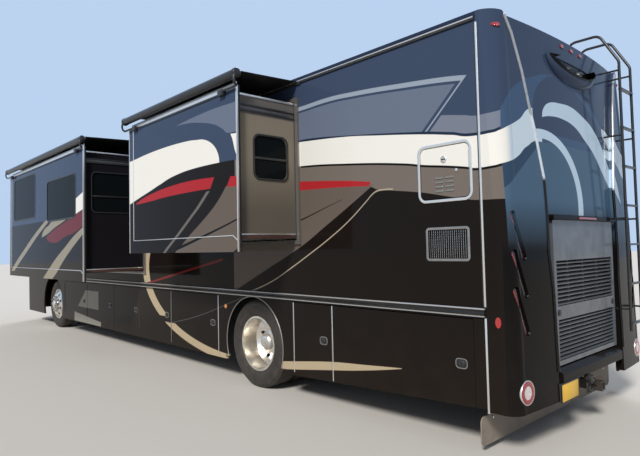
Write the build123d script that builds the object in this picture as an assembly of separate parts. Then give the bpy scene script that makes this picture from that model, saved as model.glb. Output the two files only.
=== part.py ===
"""A rear-engined class A motorhome with two slide-out rooms on its left side.

Millimetres. X runs forward from the rear axle, Y to the left from the coach's centreline and Z up
from the ground. At the end every piece is moved level with the ground so that the origin lies under
the middle of the overall box.
"""

from build123d import *

import math
import os

# Overall body
HALF_WIDTH = 1283
WHEELBASE = 7010
REAR_JOINT_X = -2850  # where the rear cap meets the side walls
REAR_END_X = -3045  # middle of the rear cap at its top
REAR_FOOT_X = -3115  # middle of the rear cap at its foot
FRONT_JOINT_X = WHEELBASE + 1490  # where the front cap meets the side walls
FRONT_END_X = WHEELBASE + 2190
FLOOR_Z = 1000  # underside of the floor, top of the skirt
FLOOR_THICKNESS = 80
WALL_TOP_Z = 3180
ROOF_EDGE_Z = 3250
ROOF_CROWN_Z = 3310
WALL = 50
CAP_WALL = 55
SKIRT = 30
SKIRT_BOTTOM_Z = 250
SKIRT_REAR_Z = 345  # the skirt rises behind the rear wheels
RISE_START_X = -690
GAP = 6  # shut line round doors and moving pieces

# Wheels
TYRE_RADIUS = 480
TYRE_HALF_WIDTH = 137
BEAD_RADIUS = 288
FRONT_WHEEL_Y = HALF_WIDTH - 223
OUTER_TWIN_Y = HALF_WIDTH - 171
WHEEL_OFFSET = 158  # tyre centre to the wheel's mounting face
INNER_TWIN_Y = OUTER_TWIN_Y - 2 * WHEEL_OFFSET
ARCH_RADIUS = 590
RUNNING_CLEARANCE = 0.05
KINGPIN_Y = FRONT_WHEEL_Y - 180
KINGPIN_RADIUS = 22
SPINDLE_RADIUS = 42
AXLE_END_RADIUS = 60

# Skirt doors, each hinged at its front edge: name, rear edge x, front edge x
LAST_SEAM_X = WHEELBASE - 740
LEFT_DOORS = (
    ("left_door_1", -2750, -1250),
    ("left_door_2", -1250, -690),
    ("left_door_3", 700, 1890),
    ("left_door_4", 1890, 2900),
    ("left_door_5", 2900, 3870),
    ("left_door_6", 3870, 5070),
    ("left_door_7", 5070, LAST_SEAM_X),
)
RIGHT_DOORS = (
    ("right_door_1", -2750, -1250),
    ("right_door_2", 700, 1890),
    ("right_door_3", 1890, 2900),
    ("right_door_4", 3870, 5070),
)
DOOR_TOP_Z = 985

# Hinges stand on the outer corner of a door's edge: a barrel on the door and a leaf on what carries it
HINGE_RADIUS = 3
HINGE_SET = 2  # barrel axis outside the panel's face
HINGE_BACK = 2.5  # barrel axis from the middle of the shut line, towards the door
HINGE_END = 25  # barrel stops this far from the door's ends
LEAF = 1.4
SEAT = 0.3  # running gap at a hinge or slide

# Slide-out rooms: box between rear and front x and floor and top z, and how far the face stands out
REAR_SLIDE = {"x": (-790, 1440), "z": (1620, 2990), "reach": 750}
FRONT_SLIDE = {"x": (2710, 6470), "z": (1245, 2940), "reach": 900}
SLIDE_WALL = 40
SLIDE_FLANGE = 50  # the face overlaps the box this much at sides and top
SLIDE_SKIRT = 115  # and this much at the bottom
SLIDE_CLEARANCE = 12
SLIDE_INNER_Y = HALF_WIDTH - WALL - 40
FRAME_WIDTH = 42
FRAME_PROUD = 25
WEAR_BAR = 80

# Roller awnings over the slide-outs
ROLLER_RADIUS = 58  # with the cloth rolled on it
ROLLER_RISE = 150  # roller axis above the top of the box
ROLLER_OUT = 30
ROLLER_END = 60

# Entry door on the right
ENTRY_X = (WHEELBASE + 710, WHEELBASE + 1430)
ENTRY_Z = (400, 2880)
ENTRY_THICKNESS = 45

# Engine door in the rear cap
ENGINE_DOOR_HALF = 620
ENGINE_DOOR_Z = (575, 1705)
ENGINE_DOOR_X = REAR_FOOT_X + 50
ENGINE_DOOR_THICKNESS = 40
ENGINE_HINGE_RADIUS = 4
ENGINE_HINGE_X = ENGINE_DOOR_X - 2
ENGINE_HINGE_Z = ENGINE_DOOR_Z[1] + 1
LOUVRE_BLOCKS = ((1030, 1385, 11), (610, 925, 10))  # low z, high z, blades
LOUVRE_DEPTH = 34
LOUVRE_THICKNESS = 8
LOUVRE_TILT = 24

# Windows: low x, high x, low z, high z
DRIVER_WINDOW = (WHEELBASE + 550, WHEELBASE + 1390, 1780, 2620)
RIGHT_WINDOWS = (
    (-2150, -1250, 1900, 2600),
    (900, 2000, 2000, 2700),
    (3200, 4600, 2000, 2700),
    (5200, 6600, 2000, 2700),
)
SLIDE_WINDOWS = ((2960, 4260, 2030, 2650), (4920, 6220, 2130, 2870))
VENT_POCKET = (-2730, -2370, 1420, 1650)
VENT_DEPTH = 22
WINDOW_RADIUS = 70
SERVICE_HATCH = (-2760, -2320, 1885, 2290)
HATCH_RADIUS = 45
HATCH_THICKNESS = 20
HATCH_HINGE_Z = (SERVICE_HATCH[2] + 60, SERVICE_HATCH[3] - 60)
GLASS = 6
GLASS_GAP = 0.3

# Chassis
RAIL_Y = (362, 432)
RAIL_Z = (740, FLOOR_Z)
RAIL_WEB = 9
RAIL_X = (-2700, FRONT_JOINT_X + 100)


def block(x, y, z):
    """A box between low and high values of x, y and z."""
    middle = Pos((x[0] + x[1]) / 2, (y[0] + y[1]) / 2, (z[0] + z[1]) / 2)
    return middle * Box(x[1] - x[0], y[1] - y[0], z[1] - z[0])


def prism_y(points, y):
    """A polygon of (x, z) points drawn out between two y."""
    face = Plane((0, y[0], 0), x_dir=(1, 0, 0), z_dir=(0, -1, 0)) * make_face(Polyline(*points, close=True))
    return extrude(face, amount=y[1] - y[0], dir=(0, 1, 0))


def prism_x(points, x):
    """A polygon of (y, z) points drawn out between two x."""
    face = Plane((x[0], 0, 0), x_dir=(0, 1, 0), z_dir=(1, 0, 0)) * make_face(Polyline(*points, close=True))
    return extrude(face, amount=x[1] - x[0], dir=(1, 0, 0))


def pane_y(window, y, shrink=0.0, radius=WINDOW_RADIUS):
    """A rounded rectangle (low x, high x, low z, high z) through a wall that faces Y."""
    width, height = window[1] - window[0] - 2 * shrink, window[3] - window[2] - 2 * shrink
    centre = ((window[0] + window[1]) / 2, y[0], (window[2] + window[3]) / 2)
    face = Plane(centre, x_dir=(1, 0, 0), z_dir=(0, -1, 0)) * RectangleRounded(width, height, radius - shrink)
    return extrude(face, amount=y[1] - y[0], dir=(0, 1, 0))


def rod(start, end, radius):
    """A round bar between two points."""
    line = Vector(*end) - Vector(*start)
    return Plane(start, z_dir=line) * Cylinder(radius, line.length, align=(Align.CENTER, Align.CENTER, Align.MIN))


def revolved_y(points):
    """A closed profile of (radius, y) points turned about the Y axis."""
    return revolve(make_face(Polyline(*points, close=True)), Axis.Y)


def stadium(start, end, radius, steps=6):
    """Points round a slot with round ends between two centres, as (y, z)."""
    heading = math.atan2(end[1] - start[1], end[0] - start[0])
    points = []
    for centre, first in ((end, heading - math.pi / 2), (start, heading + math.pi / 2)):
        for number in range(steps + 1):
            angle = first + math.pi * number / steps
            points.append((centre[0] + radius * math.cos(angle), centre[1] + radius * math.sin(angle)))
    return points


def joined(shapes):
    """Separate solids kept together as one piece."""
    return Compound([solid for shape in shapes for solid in shape.solids()])


def right_side(shape):
    """The mirror image of a piece on the left."""
    return mirror(shape, about=Plane.XZ)


def skirt_bottom(x):
    """Height of the skirt's lower edge at x."""
    if x >= RISE_START_X:
        return SKIRT_BOTTOM_Z
    share = (RISE_START_X - x) / (RISE_START_X - REAR_JOINT_X)
    return SKIRT_BOTTOM_Z + share * (SKIRT_REAR_Z - SKIRT_BOTTOM_Z)


def skirt_profile(x, top, lift=0.0):
    """Side view of a stretch of skirt between two x, as (x, z) points."""
    low = [(x[0], skirt_bottom(x[0]) + lift)]
    if x[0] < RISE_START_X < x[1]:
        low.append((RISE_START_X, SKIRT_BOTTOM_Z + lift))
    low.append((x[1], skirt_bottom(x[1]) + lift))
    return [*low, (x[1], top), (x[0], top)]


# Caps: a plan section is a back line, two sides, two corner arcs and a bowed middle

def cap_section(z, joint_x, end_x, corner_x, corner_y, bow_y, inset):
    """Plan outline of a cap at height z. corner_x and corner_y are the corner arc's size, and the middle
    bows from the corner out to end_x."""
    sign = 1 if end_x > joint_x else -1
    half = HALF_WIDTH - inset
    edge_x = end_x - sign * (bow_y + inset)
    tip_x = end_x - sign * inset
    side_x = edge_x - sign * (corner_x - inset)
    inner_y = half - (corner_y - inset)
    bend_x = side_x + sign * (corner_x - inset) * math.sin(math.radians(45))
    bend_y = inner_y + (corner_y - inset) * math.cos(math.radians(45))
    wire = Wire([
        Line((joint_x, -half), (side_x, -half)),
        ThreePointArc((side_x, -half), (bend_x, -bend_y), (edge_x, -inner_y)),
        ThreePointArc((edge_x, -inner_y), (tip_x, 0), (edge_x, inner_y)),
        ThreePointArc((edge_x, inner_y), (bend_x, bend_y), (side_x, half)),
        Line((side_x, half), (joint_x, half)),
        Line((joint_x, half), (joint_x, -half)),
    ])
    return Pos(0, 0, z) * make_face(wire)


# Front cap: height, foremost x, corner size, bow
FRONT_SECTIONS = (
    (250, FRONT_END_X - 60, 420, 60),
    (1150, FRONT_END_X, 420, 70),
    (1500, FRONT_END_X - 20, 420, 75),
    (2800, FRONT_END_X - 210, 330, 70),
    (ROOF_EDGE_Z, FRONT_END_X - 340, 230, 60),
)
# Rear cap: height, rearmost x, corner size along x, corner size along y, bow
REAR_SECTIONS = (
    (SKIRT_REAR_Z - 15, REAR_FOOT_X, 90, 130, 45),
    (1715, REAR_FOOT_X + 25, 95, 150, 50),
    (ROOF_EDGE_Z, REAR_END_X, 110, 200, 60),
)


def front_solid(inset, top=0.0, foot=0.0):
    """The front cap's outside pulled in by inset, its top lowered and its foot dropped."""
    sections = []
    for number, (z, end_x, corner, bow) in enumerate(FRONT_SECTIONS):
        level = z - top * (number == len(FRONT_SECTIONS) - 1) - foot * (number == 0)
        sections.append(cap_section(level, FRONT_JOINT_X, end_x, corner, corner, bow, inset))
    return loft(sections, ruled=True)


def rear_solid(inset, top=0.0, foot=0.0):
    """The rear cap's outside pulled in by inset, its top lowered and its foot dropped."""
    sections = []
    for number, (z, end_x, corner_x, corner_y, bow) in enumerate(REAR_SECTIONS):
        level = z - top * (number == len(REAR_SECTIONS) - 1) - foot * (number == 0)
        sections.append(cap_section(level, REAR_JOINT_X, end_x, corner_x, corner_y, bow, inset))
    return loft(sections, ruled=True)


def barrel(x, z, side=-1):
    """Hinge barrel on a left door whose shut line is at x and whose panel lies on that side of it."""
    axis = (x + side * HINGE_BACK, HALF_WIDTH + HINGE_SET)
    return rod((*axis, z[0]), (*axis, z[1]), HINGE_RADIUS)


def leaf(x, z, base_y, side=-1, reach=0.0):
    """Fixed hinge leaf in the shut line at x, from base_y out to the barrel, reaching back from the panel."""
    near = x + side * (HINGE_BACK - 1)
    far = near - side * max(LEAF, reach)
    corner_y = HINGE_SET - math.sqrt((HINGE_RADIUS + SEAT) ** 2 - 1)
    return block(sorted((near, far)), (base_y, HALF_WIDTH + corner_y), z)


nodes = {}


# Windscreen opening in the front cap
SCREEN_HALF = 1180
SCREEN_Z = (1500, 2780)
SCREEN_POST = 12


def screen_region(shrink):
    """Prism along X through the windscreen opening, from its left edge to its right."""
    height = SCREEN_Z[1] - SCREEN_Z[0] - 2 * shrink
    face = Plane((FRONT_JOINT_X + 130, 0, (SCREEN_Z[0] + SCREEN_Z[1]) / 2), x_dir=(0, 1, 0), z_dir=(1, 0, 0))
    return extrude(face * RectangleRounded(2 * (SCREEN_HALF - shrink), height, 90 - shrink), amount=900)


HEAD_LAMP = [(760, 840), (1150, 900), (1150, 1010), (820, 1000)]
FOG_LAMP = (900, 470, 55)
GRILLE_HALF = 560
GRILLE_Z = (600, 900)
GRILLE_BARS = 4
NOSE_X = (FRONT_JOINT_X + 200, FRONT_END_X + 100)


def nose_bar(z, proud, depth, half):
    """A band across the front cap between two heights, from proud outside to depth inside its surface."""
    return (front_solid(-proud) - front_solid(depth)) & block(NOSE_X, (-half, half), z)


def front_cap():
    """Moulded front cap, open behind, with the windscreen opening, lamp pockets, grille and bumper."""
    cap = front_solid(0) - front_solid(CAP_WALL, top=CAP_WALL, foot=10) - screen_region(0)
    skin = front_solid(0) - front_solid(24)
    lamp = prism_x(HEAD_LAMP, NOSE_X)
    fog = prism_x(stadium((FOG_LAMP[0], FOG_LAMP[1]), (FOG_LAMP[0] + 60, FOG_LAMP[1]), FOG_LAMP[2]), NOSE_X)
    for region in (lamp, right_side(lamp), fog, right_side(fog)):
        cap -= skin & region
    cap -= skin & block(NOSE_X, (-GRILLE_HALF, GRILLE_HALF), GRILLE_Z)
    pitch = (GRILLE_Z[1] - GRILLE_Z[0]) / GRILLE_BARS
    for number in range(1, GRILLE_BARS):
        z = GRILLE_Z[0] + number * pitch
        cap += nose_bar((z - 14, z + 14), -6, 26, GRILLE_HALF + 2)
    return cap + nose_bar((330, 372), 14, 2, HALF_WIDTH - 300) + nose_bar((552, 580), 14, 2, HALF_WIDTH - 300)


def windscreen():
    """Two bowed panes that fill the opening either side of a centre post."""
    glass = (front_solid(8) - front_solid(8 + GLASS)) & screen_region(GLASS_GAP)
    return glass - block((FRONT_JOINT_X, FRONT_END_X), (-SCREEN_POST, SCREEN_POST), SCREEN_Z)


def screen_post():
    """Centre post between the two panes."""
    post = (front_solid(8) - front_solid(CAP_WALL)) & screen_region(0)
    half = SCREEN_POST - GLASS_GAP
    return post & block((FRONT_JOINT_X, FRONT_END_X), (-half, half), SCREEN_Z)


nodes["front_cap"] = front_cap() + screen_post()


# The cap's middle lies in a shallow recess between two creases: half width at each height
CREASE = (
    (684, 200), (684, 1172), (719, 1445), (718, 1815), (723, 2021), (773, 2225), (813, 2401), (865, 2573),
    (929, 2825), (1032, 3107), (1148, 3270), (1160, 3400),
)
REAR_RECESS = 35
BEHIND_X = (REAR_FOOT_X - 200, REAR_JOINT_X - 5)
TAIL_SLITS = (
    ((1182, 1736), (1071, 1431)),
    ((1189, 1457), (1073, 1160)),
    ((1194, 1193), (1083, 894)),
)
SLIT_RADIUS = 30
SLIT_DEPTH = 24
TAIL_LENS_RADIUS = 18
BACKUP_LAMP = (1135, 477)
BACKUP_RADIUS = 78

# Pod of the rear cameras under the roof's edge: its tips, drop and reach, and its opening as (y, z)
POD_TIP_Z = 3068
POD_HALF = 490
POD_DROP = 198
POD_PROUD = 80
POD_OPENING = [
    (455, 3058), (260, 3076), (-260, 3076), (-455, 3058), (-330, 2999), (-170, 2960), (0, 2948), (170, 2960),
    (330, 2999),
]


def rear_layer(proud, depth, points):
    """The part of the rear cap's skin between proud outside and depth inside it, within a (y, z) outline."""
    return (rear_solid(-proud) - rear_solid(depth)) & prism_x(points, BEHIND_X)


def rear_surface_x(y, z):
    """Where the rear cap's outside stands at y and z, between its corners."""
    for low, high in zip(REAR_SECTIONS, REAR_SECTIONS[1:]):
        if z <= high[0]:
            break
    stands = [end + bow * (y / (HALF_WIDTH - corner)) ** 2 for _, end, _, corner, bow in (low, high)]
    share = (z - low[0]) / (high[0] - low[0])
    return stands[0] + share * (stands[1] - stands[0])


def camera_pod():
    """Lip under the rear cameras: the lower half of an ellipsoid that swells from the recess."""
    face_x = rear_surface_x(0, POD_TIP_Z - POD_DROP / 2) + REAR_RECESS
    swell = Pos(face_x, 0, POD_TIP_Z) * scale(Sphere(1), by=(POD_PROUD, POD_HALF, POD_DROP))
    swell &= block((face_x - 200, face_x + 10), (-POD_HALF, POD_HALF), (POD_TIP_Z - 2 * POD_DROP, POD_TIP_Z))
    return swell


def rear_cap():
    """Moulded rear cap, open in front, with its recessed middle, lamp slits, camera housing, engine door
    opening and the ledge that the door hangs from."""
    cap = rear_solid(0) - rear_solid(CAP_WALL, top=CAP_WALL, foot=10)
    middle = [*CREASE, *((-y, z) for y, z in reversed(CREASE))]
    cap -= rear_layer(1, REAR_RECESS, middle)
    for start, end in TAIL_SLITS:
        slit = rear_layer(1, SLIT_DEPTH, stadium(start, end, SLIT_RADIUS))
        cap -= slit
        cap -= right_side(slit)
    cap += camera_pod()
    cap -= rear_layer(60, REAR_RECESS + 8, POD_OPENING)
    half = ENGINE_DOOR_HALF + GAP
    top = ENGINE_HINGE_Z + ENGINE_HINGE_RADIUS + SEAT
    opening = block((REAR_FOOT_X - 200, REAR_JOINT_X - 60), (-half, half), (0, top))
    ledge = block((ENGINE_DOOR_X - 28, ENGINE_DOOR_X + 30), (-half - 30, half + 30), (top, top + 32))
    return cap - opening + ledge


nodes["rear_cap"] = rear_cap()


# Walls, floor and roof

def slide_opening(slide):
    """The hole in the left wall for a slide-out."""
    low, high = slide["x"][0] - SLIDE_CLEARANCE, slide["x"][1] + SLIDE_CLEARANCE
    floor, top = slide["z"][0] - SLIDE_CLEARANCE, slide["z"][1] + SLIDE_CLEARANCE
    return block((low, high), (HALF_WIDTH - 2 * WALL, HALF_WIDTH + WALL), (floor, top))


def slide_frame(slide):
    """The raised trim round a slide-out's opening."""
    low, high = slide["x"][0] - SLIDE_CLEARANCE, slide["x"][1] + SLIDE_CLEARANCE
    floor, top = slide["z"][0] - SLIDE_CLEARANCE, slide["z"][1] + SLIDE_CLEARANCE
    y = (HALF_WIDTH, HALF_WIDTH + FRAME_PROUD)
    outer = block((low - FRAME_WIDTH, high + FRAME_WIDTH), y, (floor - FRAME_WIDTH, top + FRAME_WIDTH))
    return outer - block((low, high), y, (floor, top))


def wear_bars(slide):
    """Two low bars on the opening's sill that the slide-out's box runs on."""
    (x0, x1), sill = slide["x"], slide["z"][0] - SLIDE_CLEARANCE
    y = (HALF_WIDTH - WALL, HALF_WIDTH)
    bars = None
    for x in (x0 + 250, x1 - 250 - WEAR_BAR):
        bar = block((x, x + WEAR_BAR), y, (sill - 1, slide["z"][0] - SEAT))
        bars = bar if bars is None else bars + bar
    return bars


def left_wall():
    wall = block((REAR_JOINT_X, FRONT_JOINT_X), (HALF_WIDTH - WALL, HALF_WIDTH), (FLOOR_Z, WALL_TOP_Z))
    for slide in (REAR_SLIDE, FRONT_SLIDE):
        wall = wall - slide_opening(slide) + slide_frame(slide) + wear_bars(slide)
    wall -= pane_y(DRIVER_WINDOW, (HALF_WIDTH - 2 * WALL, HALF_WIDTH + WALL))
    wall -= pane_y(VENT_POCKET, (HALF_WIDTH - VENT_DEPTH, HALF_WIDTH + WALL), radius=20)
    wall -= pane_y(SERVICE_HATCH, (HALF_WIDTH - 2 * WALL, HALF_WIDTH + WALL), -GAP / 2, HATCH_RADIUS)
    low_x, high_x, low_z, high_z = SERVICE_HATCH
    back_y = (HALF_WIDTH - WALL, HALF_WIDTH - WALL + 10)
    wall += block((low_x - GAP, high_x + GAP), back_y, (low_z - GAP, high_z + GAP))
    return wall + leaf(low_x, HATCH_HINGE_Z, HALF_WIDTH - 30, side=1, reach=GAP)


def service_hatch():
    """Round-cornered lid that swings on its rear edge."""
    panel = pane_y(SERVICE_HATCH, (HALF_WIDTH - HATCH_THICKNESS, HALF_WIDTH), GAP / 2, HATCH_RADIUS)
    return panel + barrel(SERVICE_HATCH[0], HATCH_HINGE_Z, side=1)


def right_wall():
    wall = block((REAR_JOINT_X, FRONT_JOINT_X), (-HALF_WIDTH, -HALF_WIDTH + WALL), (FLOOR_Z, WALL_TOP_Z))
    for window in RIGHT_WINDOWS:
        wall -= pane_y(window, (-HALF_WIDTH - WALL, -HALF_WIDTH + 2 * WALL))
    through = (-HALF_WIDTH - WALL, -HALF_WIDTH + 2 * WALL)
    doorway = block((ENTRY_X[0] - GAP, ENTRY_X[1] + GAP), through, (FLOOR_Z - WALL, ENTRY_Z[1] + GAP))
    hinge_z = (FLOOR_Z + HINGE_END, ENTRY_Z[1] - HINGE_END)
    return wall - doorway + right_side(leaf(ENTRY_X[1] + GAP / 2, hinge_z, HALF_WIDTH - 30, reach=GAP))


nodes["left_wall"] = left_wall()
nodes["service_hatch"] = service_hatch()
nodes["right_wall"] = right_wall()
INSIDE_Y = (-HALF_WIDTH + WALL, HALF_WIDTH - WALL)
nodes["rear_wall"] = block(
    (REAR_JOINT_X, REAR_JOINT_X + WALL), INSIDE_Y, (FLOOR_Z + FLOOR_THICKNESS, WALL_TOP_Z)
)

# The entry steps drop through a notch in the floor behind the door
STEP_WELL_Y = (-HALF_WIDTH + WALL, -HALF_WIDTH + WALL + 560)
STEP_X = (ENTRY_X[0] + 10, ENTRY_X[1] - 10)
STEP_COUNT = 3
STEP_FOOT_Z = 420

floor_panel = block((REAR_JOINT_X, FRONT_JOINT_X), INSIDE_Y, (FLOOR_Z, FLOOR_Z + FLOOR_THICKNESS))
nose_half = HALF_WIDTH - CAP_WALL - 20
floor_panel += block((FRONT_JOINT_X, FRONT_JOINT_X + 250), (-nose_half, nose_half), (FLOOR_Z, FLOOR_Z + FLOOR_THICKNESS))
well_z = (FLOOR_Z - WALL, FLOOR_Z + 2 * FLOOR_THICKNESS)
floor_well = block(STEP_X, (STEP_WELL_Y[0] - WALL, STEP_WELL_Y[1]), well_z)
nodes["floor"] = floor_panel - floor_well


def roof():
    """Crowned roof panel that lies on the walls."""
    half = HALF_WIDTH
    arc = ThreePointArc((-half, ROOF_EDGE_Z), (0, ROOF_CROWN_Z), (half, ROOF_EDGE_Z))
    outline = arc + Polyline((half, ROOF_EDGE_Z), (half, WALL_TOP_Z), (-half, WALL_TOP_Z), (-half, ROOF_EDGE_Z))
    face = Plane((REAR_JOINT_X, 0, 0), x_dir=(0, 1, 0), z_dir=(1, 0, 0)) * make_face(outline)
    return extrude(face, amount=FRONT_JOINT_X - REAR_JOINT_X, dir=(1, 0, 0))


nodes["roof"] = roof()


# Skirt and its doors
THROUGH_SKIRT = (HALF_WIDTH - 2 * SKIRT, HALF_WIDTH + SKIRT)


def arch(x):
    """Wheel arch cut about an axle."""
    return Pos(x, HALF_WIDTH, TYRE_RADIUS) * Rot(90, 0, 0) * Cylinder(ARCH_RADIUS, 4 * SKIRT)


def skirt(doors, extra=()):
    """The fixed panels of the left skirt: all that its doors and arches leave."""
    panel = prism_y(skirt_profile((REAR_JOINT_X, FRONT_JOINT_X), FLOOR_Z), (HALF_WIDTH - SKIRT, HALF_WIDTH))
    for _, low, high in doors:
        panel -= prism_y(skirt_profile((low, high), DOOR_TOP_Z, lift=-60), THROUGH_SKIRT)
    for cut in extra:
        panel -= cut
    return panel - arch(0) - arch(WHEELBASE)


def skirt_door(low, high):
    """One skirt door with a hinge barrel down its front edge."""
    x = (low + GAP / 2, high - GAP / 2)
    panel = prism_y(skirt_profile(x, DOOR_TOP_Z - GAP), (HALF_WIDTH - SKIRT, HALF_WIDTH))
    return panel + barrel(high, (SKIRT_REAR_Z + HINGE_END, DOOR_TOP_Z - HINGE_END))


entry_cut = block((ENTRY_X[0] - GAP, ENTRY_X[1] + GAP), THROUGH_SKIRT, (ENTRY_Z[0] - GAP, FLOOR_Z + WALL))
nodes["left_skirt"] = skirt(LEFT_DOORS)
nodes["right_skirt"] = right_side(skirt(RIGHT_DOORS, extra=(entry_cut,)))
for name, low, high in LEFT_DOORS:
    nodes[name] = skirt_door(low, high)
for name, low, high in RIGHT_DOORS:
    nodes[name] = right_side(skirt_door(low, high))

# Rub rails along the foot of the walls
RAIL_TRIM_Z = (FLOOR_Z, FLOOR_Z + 70)
RAIL_TRIM_PROUD = 16
rub_rail = block((REAR_JOINT_X, FRONT_JOINT_X), (HALF_WIDTH, HALF_WIDTH + RAIL_TRIM_PROUD), RAIL_TRIM_Z)
rub_rail_right = right_side(rub_rail) - block(
    (ENTRY_X[0] - GAP, ENTRY_X[1] + GAP), (-HALF_WIDTH - 2 * RAIL_TRIM_PROUD, -HALF_WIDTH), RAIL_TRIM_Z
)
nodes["rub_rails"] = joined([rub_rail, rub_rail_right])


# Storage bays behind the skirt doors: floor, inboard wall and a bulkhead at each seam
BAY_PLATE = 15
BAY_INNER_Y = 450
BAY_OUTER_Y = HALF_WIDTH - SKIRT - 8
REAR_BAY_INNER_Y = 640
REAR_BAY_FLOOR_Z = 380
BAY_FLOOR_Z = SKIRT_BOTTOM_Z + 30


def bays(seams, inner_y, floor_z, hinged):
    """A row of storage bays on the left with a bulkhead at each seam, and a hinge leaf where a door hangs."""
    row = block((seams[0], seams[-1]), (inner_y, BAY_OUTER_Y), (floor_z, floor_z + BAY_PLATE))
    row += block((seams[0], seams[-1]), (inner_y, inner_y + BAY_PLATE), (floor_z, FLOOR_Z))
    for number, seam in enumerate(seams):
        low = seam - BAY_PLATE / 2
        if number == 0:
            low = seam
        if number == len(seams) - 1:
            low = seam - BAY_PLATE
        row += block((low, low + BAY_PLATE), (inner_y, BAY_OUTER_Y), (floor_z, FLOOR_Z))
    for seam in hinged:
        row += leaf(seam, (SKIRT_REAR_Z + HINGE_END, DOOR_TOP_Z - HINGE_END), BAY_OUTER_Y - 1)
    return row


BAY_SEAMS = (700, 1890, 2900, 3870, 5070, LAST_SEAM_X)
REAR_BAY_SEAMS = (-2750, -1250, -690)


def bay_rows(doors):
    """Both rows of bays of one side, as on the left."""
    hinged = [high for _, _, high in doors]
    middle = bays(BAY_SEAMS, BAY_INNER_Y, BAY_FLOOR_Z, [seam for seam in hinged if seam > 0])
    rear = bays(REAR_BAY_SEAMS, REAR_BAY_INNER_Y, REAR_BAY_FLOOR_Z, [seam for seam in hinged if seam < 0])
    return [middle, rear]


nodes["storage_bays"] = joined([*bay_rows(LEFT_DOORS), *(right_side(row) for row in bay_rows(RIGHT_DOORS))])


# Chassis

def rail():
    """Left frame rail, a channel open inwards."""
    (y0, y1), (z0, z1) = RAIL_Y, RAIL_Z
    points = [
        (y0, z0), (y1, z0), (y1, z1), (y0, z1), (y0, z1 - RAIL_WEB), (y1 - RAIL_WEB, z1 - RAIL_WEB),
        (y1 - RAIL_WEB, z0 + RAIL_WEB), (y0, z0 + RAIL_WEB),
    ]
    return prism_x(points, RAIL_X)


CROSS_MEMBERS = (-2650, -640, 900, 2700, 4500, WHEELBASE - 710, WHEELBASE + 990)
CROSS_WIDTH = 70
CROSS_Y = (-RAIL_Y[1] + RAIL_WEB / 2, RAIL_Y[1] - RAIL_WEB / 2)
HITCH_X = (-3160, -2650)
HITCH_Z = 330
HITCH_DEPTH = 300
HITCH_OUTER = 38
HITCH_BORE = 26
PIN_HOLE_RADIUS = 8
PIN_HOLE_X = -3110


def chassis():
    """Ladder frame with cross members, the rear beam and the hitch receiver."""
    frame = rail() + right_side(rail())
    for x in CROSS_MEMBERS:
        frame += block((x, x + CROSS_WIDTH), CROSS_Y, (RAIL_Z[0] + 40, RAIL_Z[1] - 40))
    return frame


def hitch():
    """Receiver under the rear beam, hung from the rails' ends, with a cross hole for its pin."""
    hanger_x = (CROSS_MEMBERS[0], CROSS_MEMBERS[0] + CROSS_WIDTH)
    low, high = HITCH_Z - HITCH_OUTER, HITCH_Z + HITCH_OUTER
    hanger = block(hanger_x, (-RAIL_Y[1], RAIL_Y[1]), (low, high))
    for side in (-1, 1):
        hanger += block(hanger_x, sorted((side * RAIL_Y[0], side * RAIL_Y[1])), (low, RAIL_Z[0]))
    tube = block(HITCH_X, (-HITCH_OUTER, HITCH_OUTER), (low, high))
    mouth_z = (HITCH_Z - HITCH_BORE, HITCH_Z + HITCH_BORE)
    tube -= block((HITCH_X[0] - 10, HITCH_X[0] + HITCH_DEPTH), (-HITCH_BORE, HITCH_BORE), mouth_z)
    tube -= Pos(PIN_HOLE_X, 0, HITCH_Z) * Rot(90, 0, 0) * Cylinder(PIN_HOLE_RADIUS, 4 * HITCH_OUTER)
    return hanger + tube


nodes["chassis"] = chassis()
nodes["hitch"] = hitch()

# Bumper beam with a sloping top, moulded between the rear cap's two columns
BEAM_Z = (450, 560)
BEAM_HALF = ENGINE_DOOR_HALF + GAP
beam_points = [
    (REAR_FOOT_X + 8, BEAM_Z[0]), (CROSS_MEMBERS[0] - 10, BEAM_Z[0]), (CROSS_MEMBERS[0] - 10, BEAM_Z[1]),
    (ENGINE_DOOR_X, BEAM_Z[1]), (REAR_FOOT_X + 8, BEAM_Z[1] - 40),
]
nodes["rear_cap"] += prism_y(beam_points, (-BEAM_HALF, BEAM_HALF))


# Engine with its gearbox, and the radiator behind the louvred door
ENGINE_X = (REAR_JOINT_X + 350, REAR_JOINT_X + 1550)
ENGINE_HALF = RAIL_Y[0] - 22
engine = block(ENGINE_X, (-ENGINE_HALF, ENGINE_HALF), (470, FLOOR_Z))
gearbox = block((ENGINE_X[1], ENGINE_X[1] + 600), (-210, 210), (520, 900))
engine_mount_x = (ENGINE_X[0] + 500, ENGINE_X[0] + 620)
mount_z = (RAIL_Z[0] + RAIL_WEB, RAIL_Z[0] + RAIL_WEB + 50)
engine_mount = block(engine_mount_x, (ENGINE_HALF, RAIL_Y[1] - RAIL_WEB - 3), mount_z)
radiator = block((ENGINE_DOOR_X + 60, REAR_JOINT_X), (-560, 560), (620, 1560))
nodes["engine"] = engine + gearbox + engine_mount + right_side(engine_mount)
nodes["radiator"] = radiator


# Axles

def rear_axle():
    """Drive axle: a housing with tubes that the twin wheels' hubs run on."""
    profile = [(0, -190), (95, -165), (165, -95), (190, 0), (165, 95), (95, 165), (0, 190)]
    housing = Pos(0, 0, TYRE_RADIUS) * revolved_y(profile)
    tube_y, end_y = INNER_TWIN_Y - 156, OUTER_TWIN_Y - 102
    tube = rod((0, -tube_y, TYRE_RADIUS), (0, tube_y, TYRE_RADIUS), 72)
    ends = rod((0, -end_y, TYRE_RADIUS), (0, end_y, TYRE_RADIUS), AXLE_END_RADIUS)
    saddles = block((-60, 60), (RAIL_Y[0], RAIL_Y[1]), (TYRE_RADIUS + 40, RAIL_Z[0]))
    return housing + tube + ends + saddles + right_side(saddles)


EYE_HALF_HEIGHT = 70
FORK_GAP = 0.5


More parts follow.
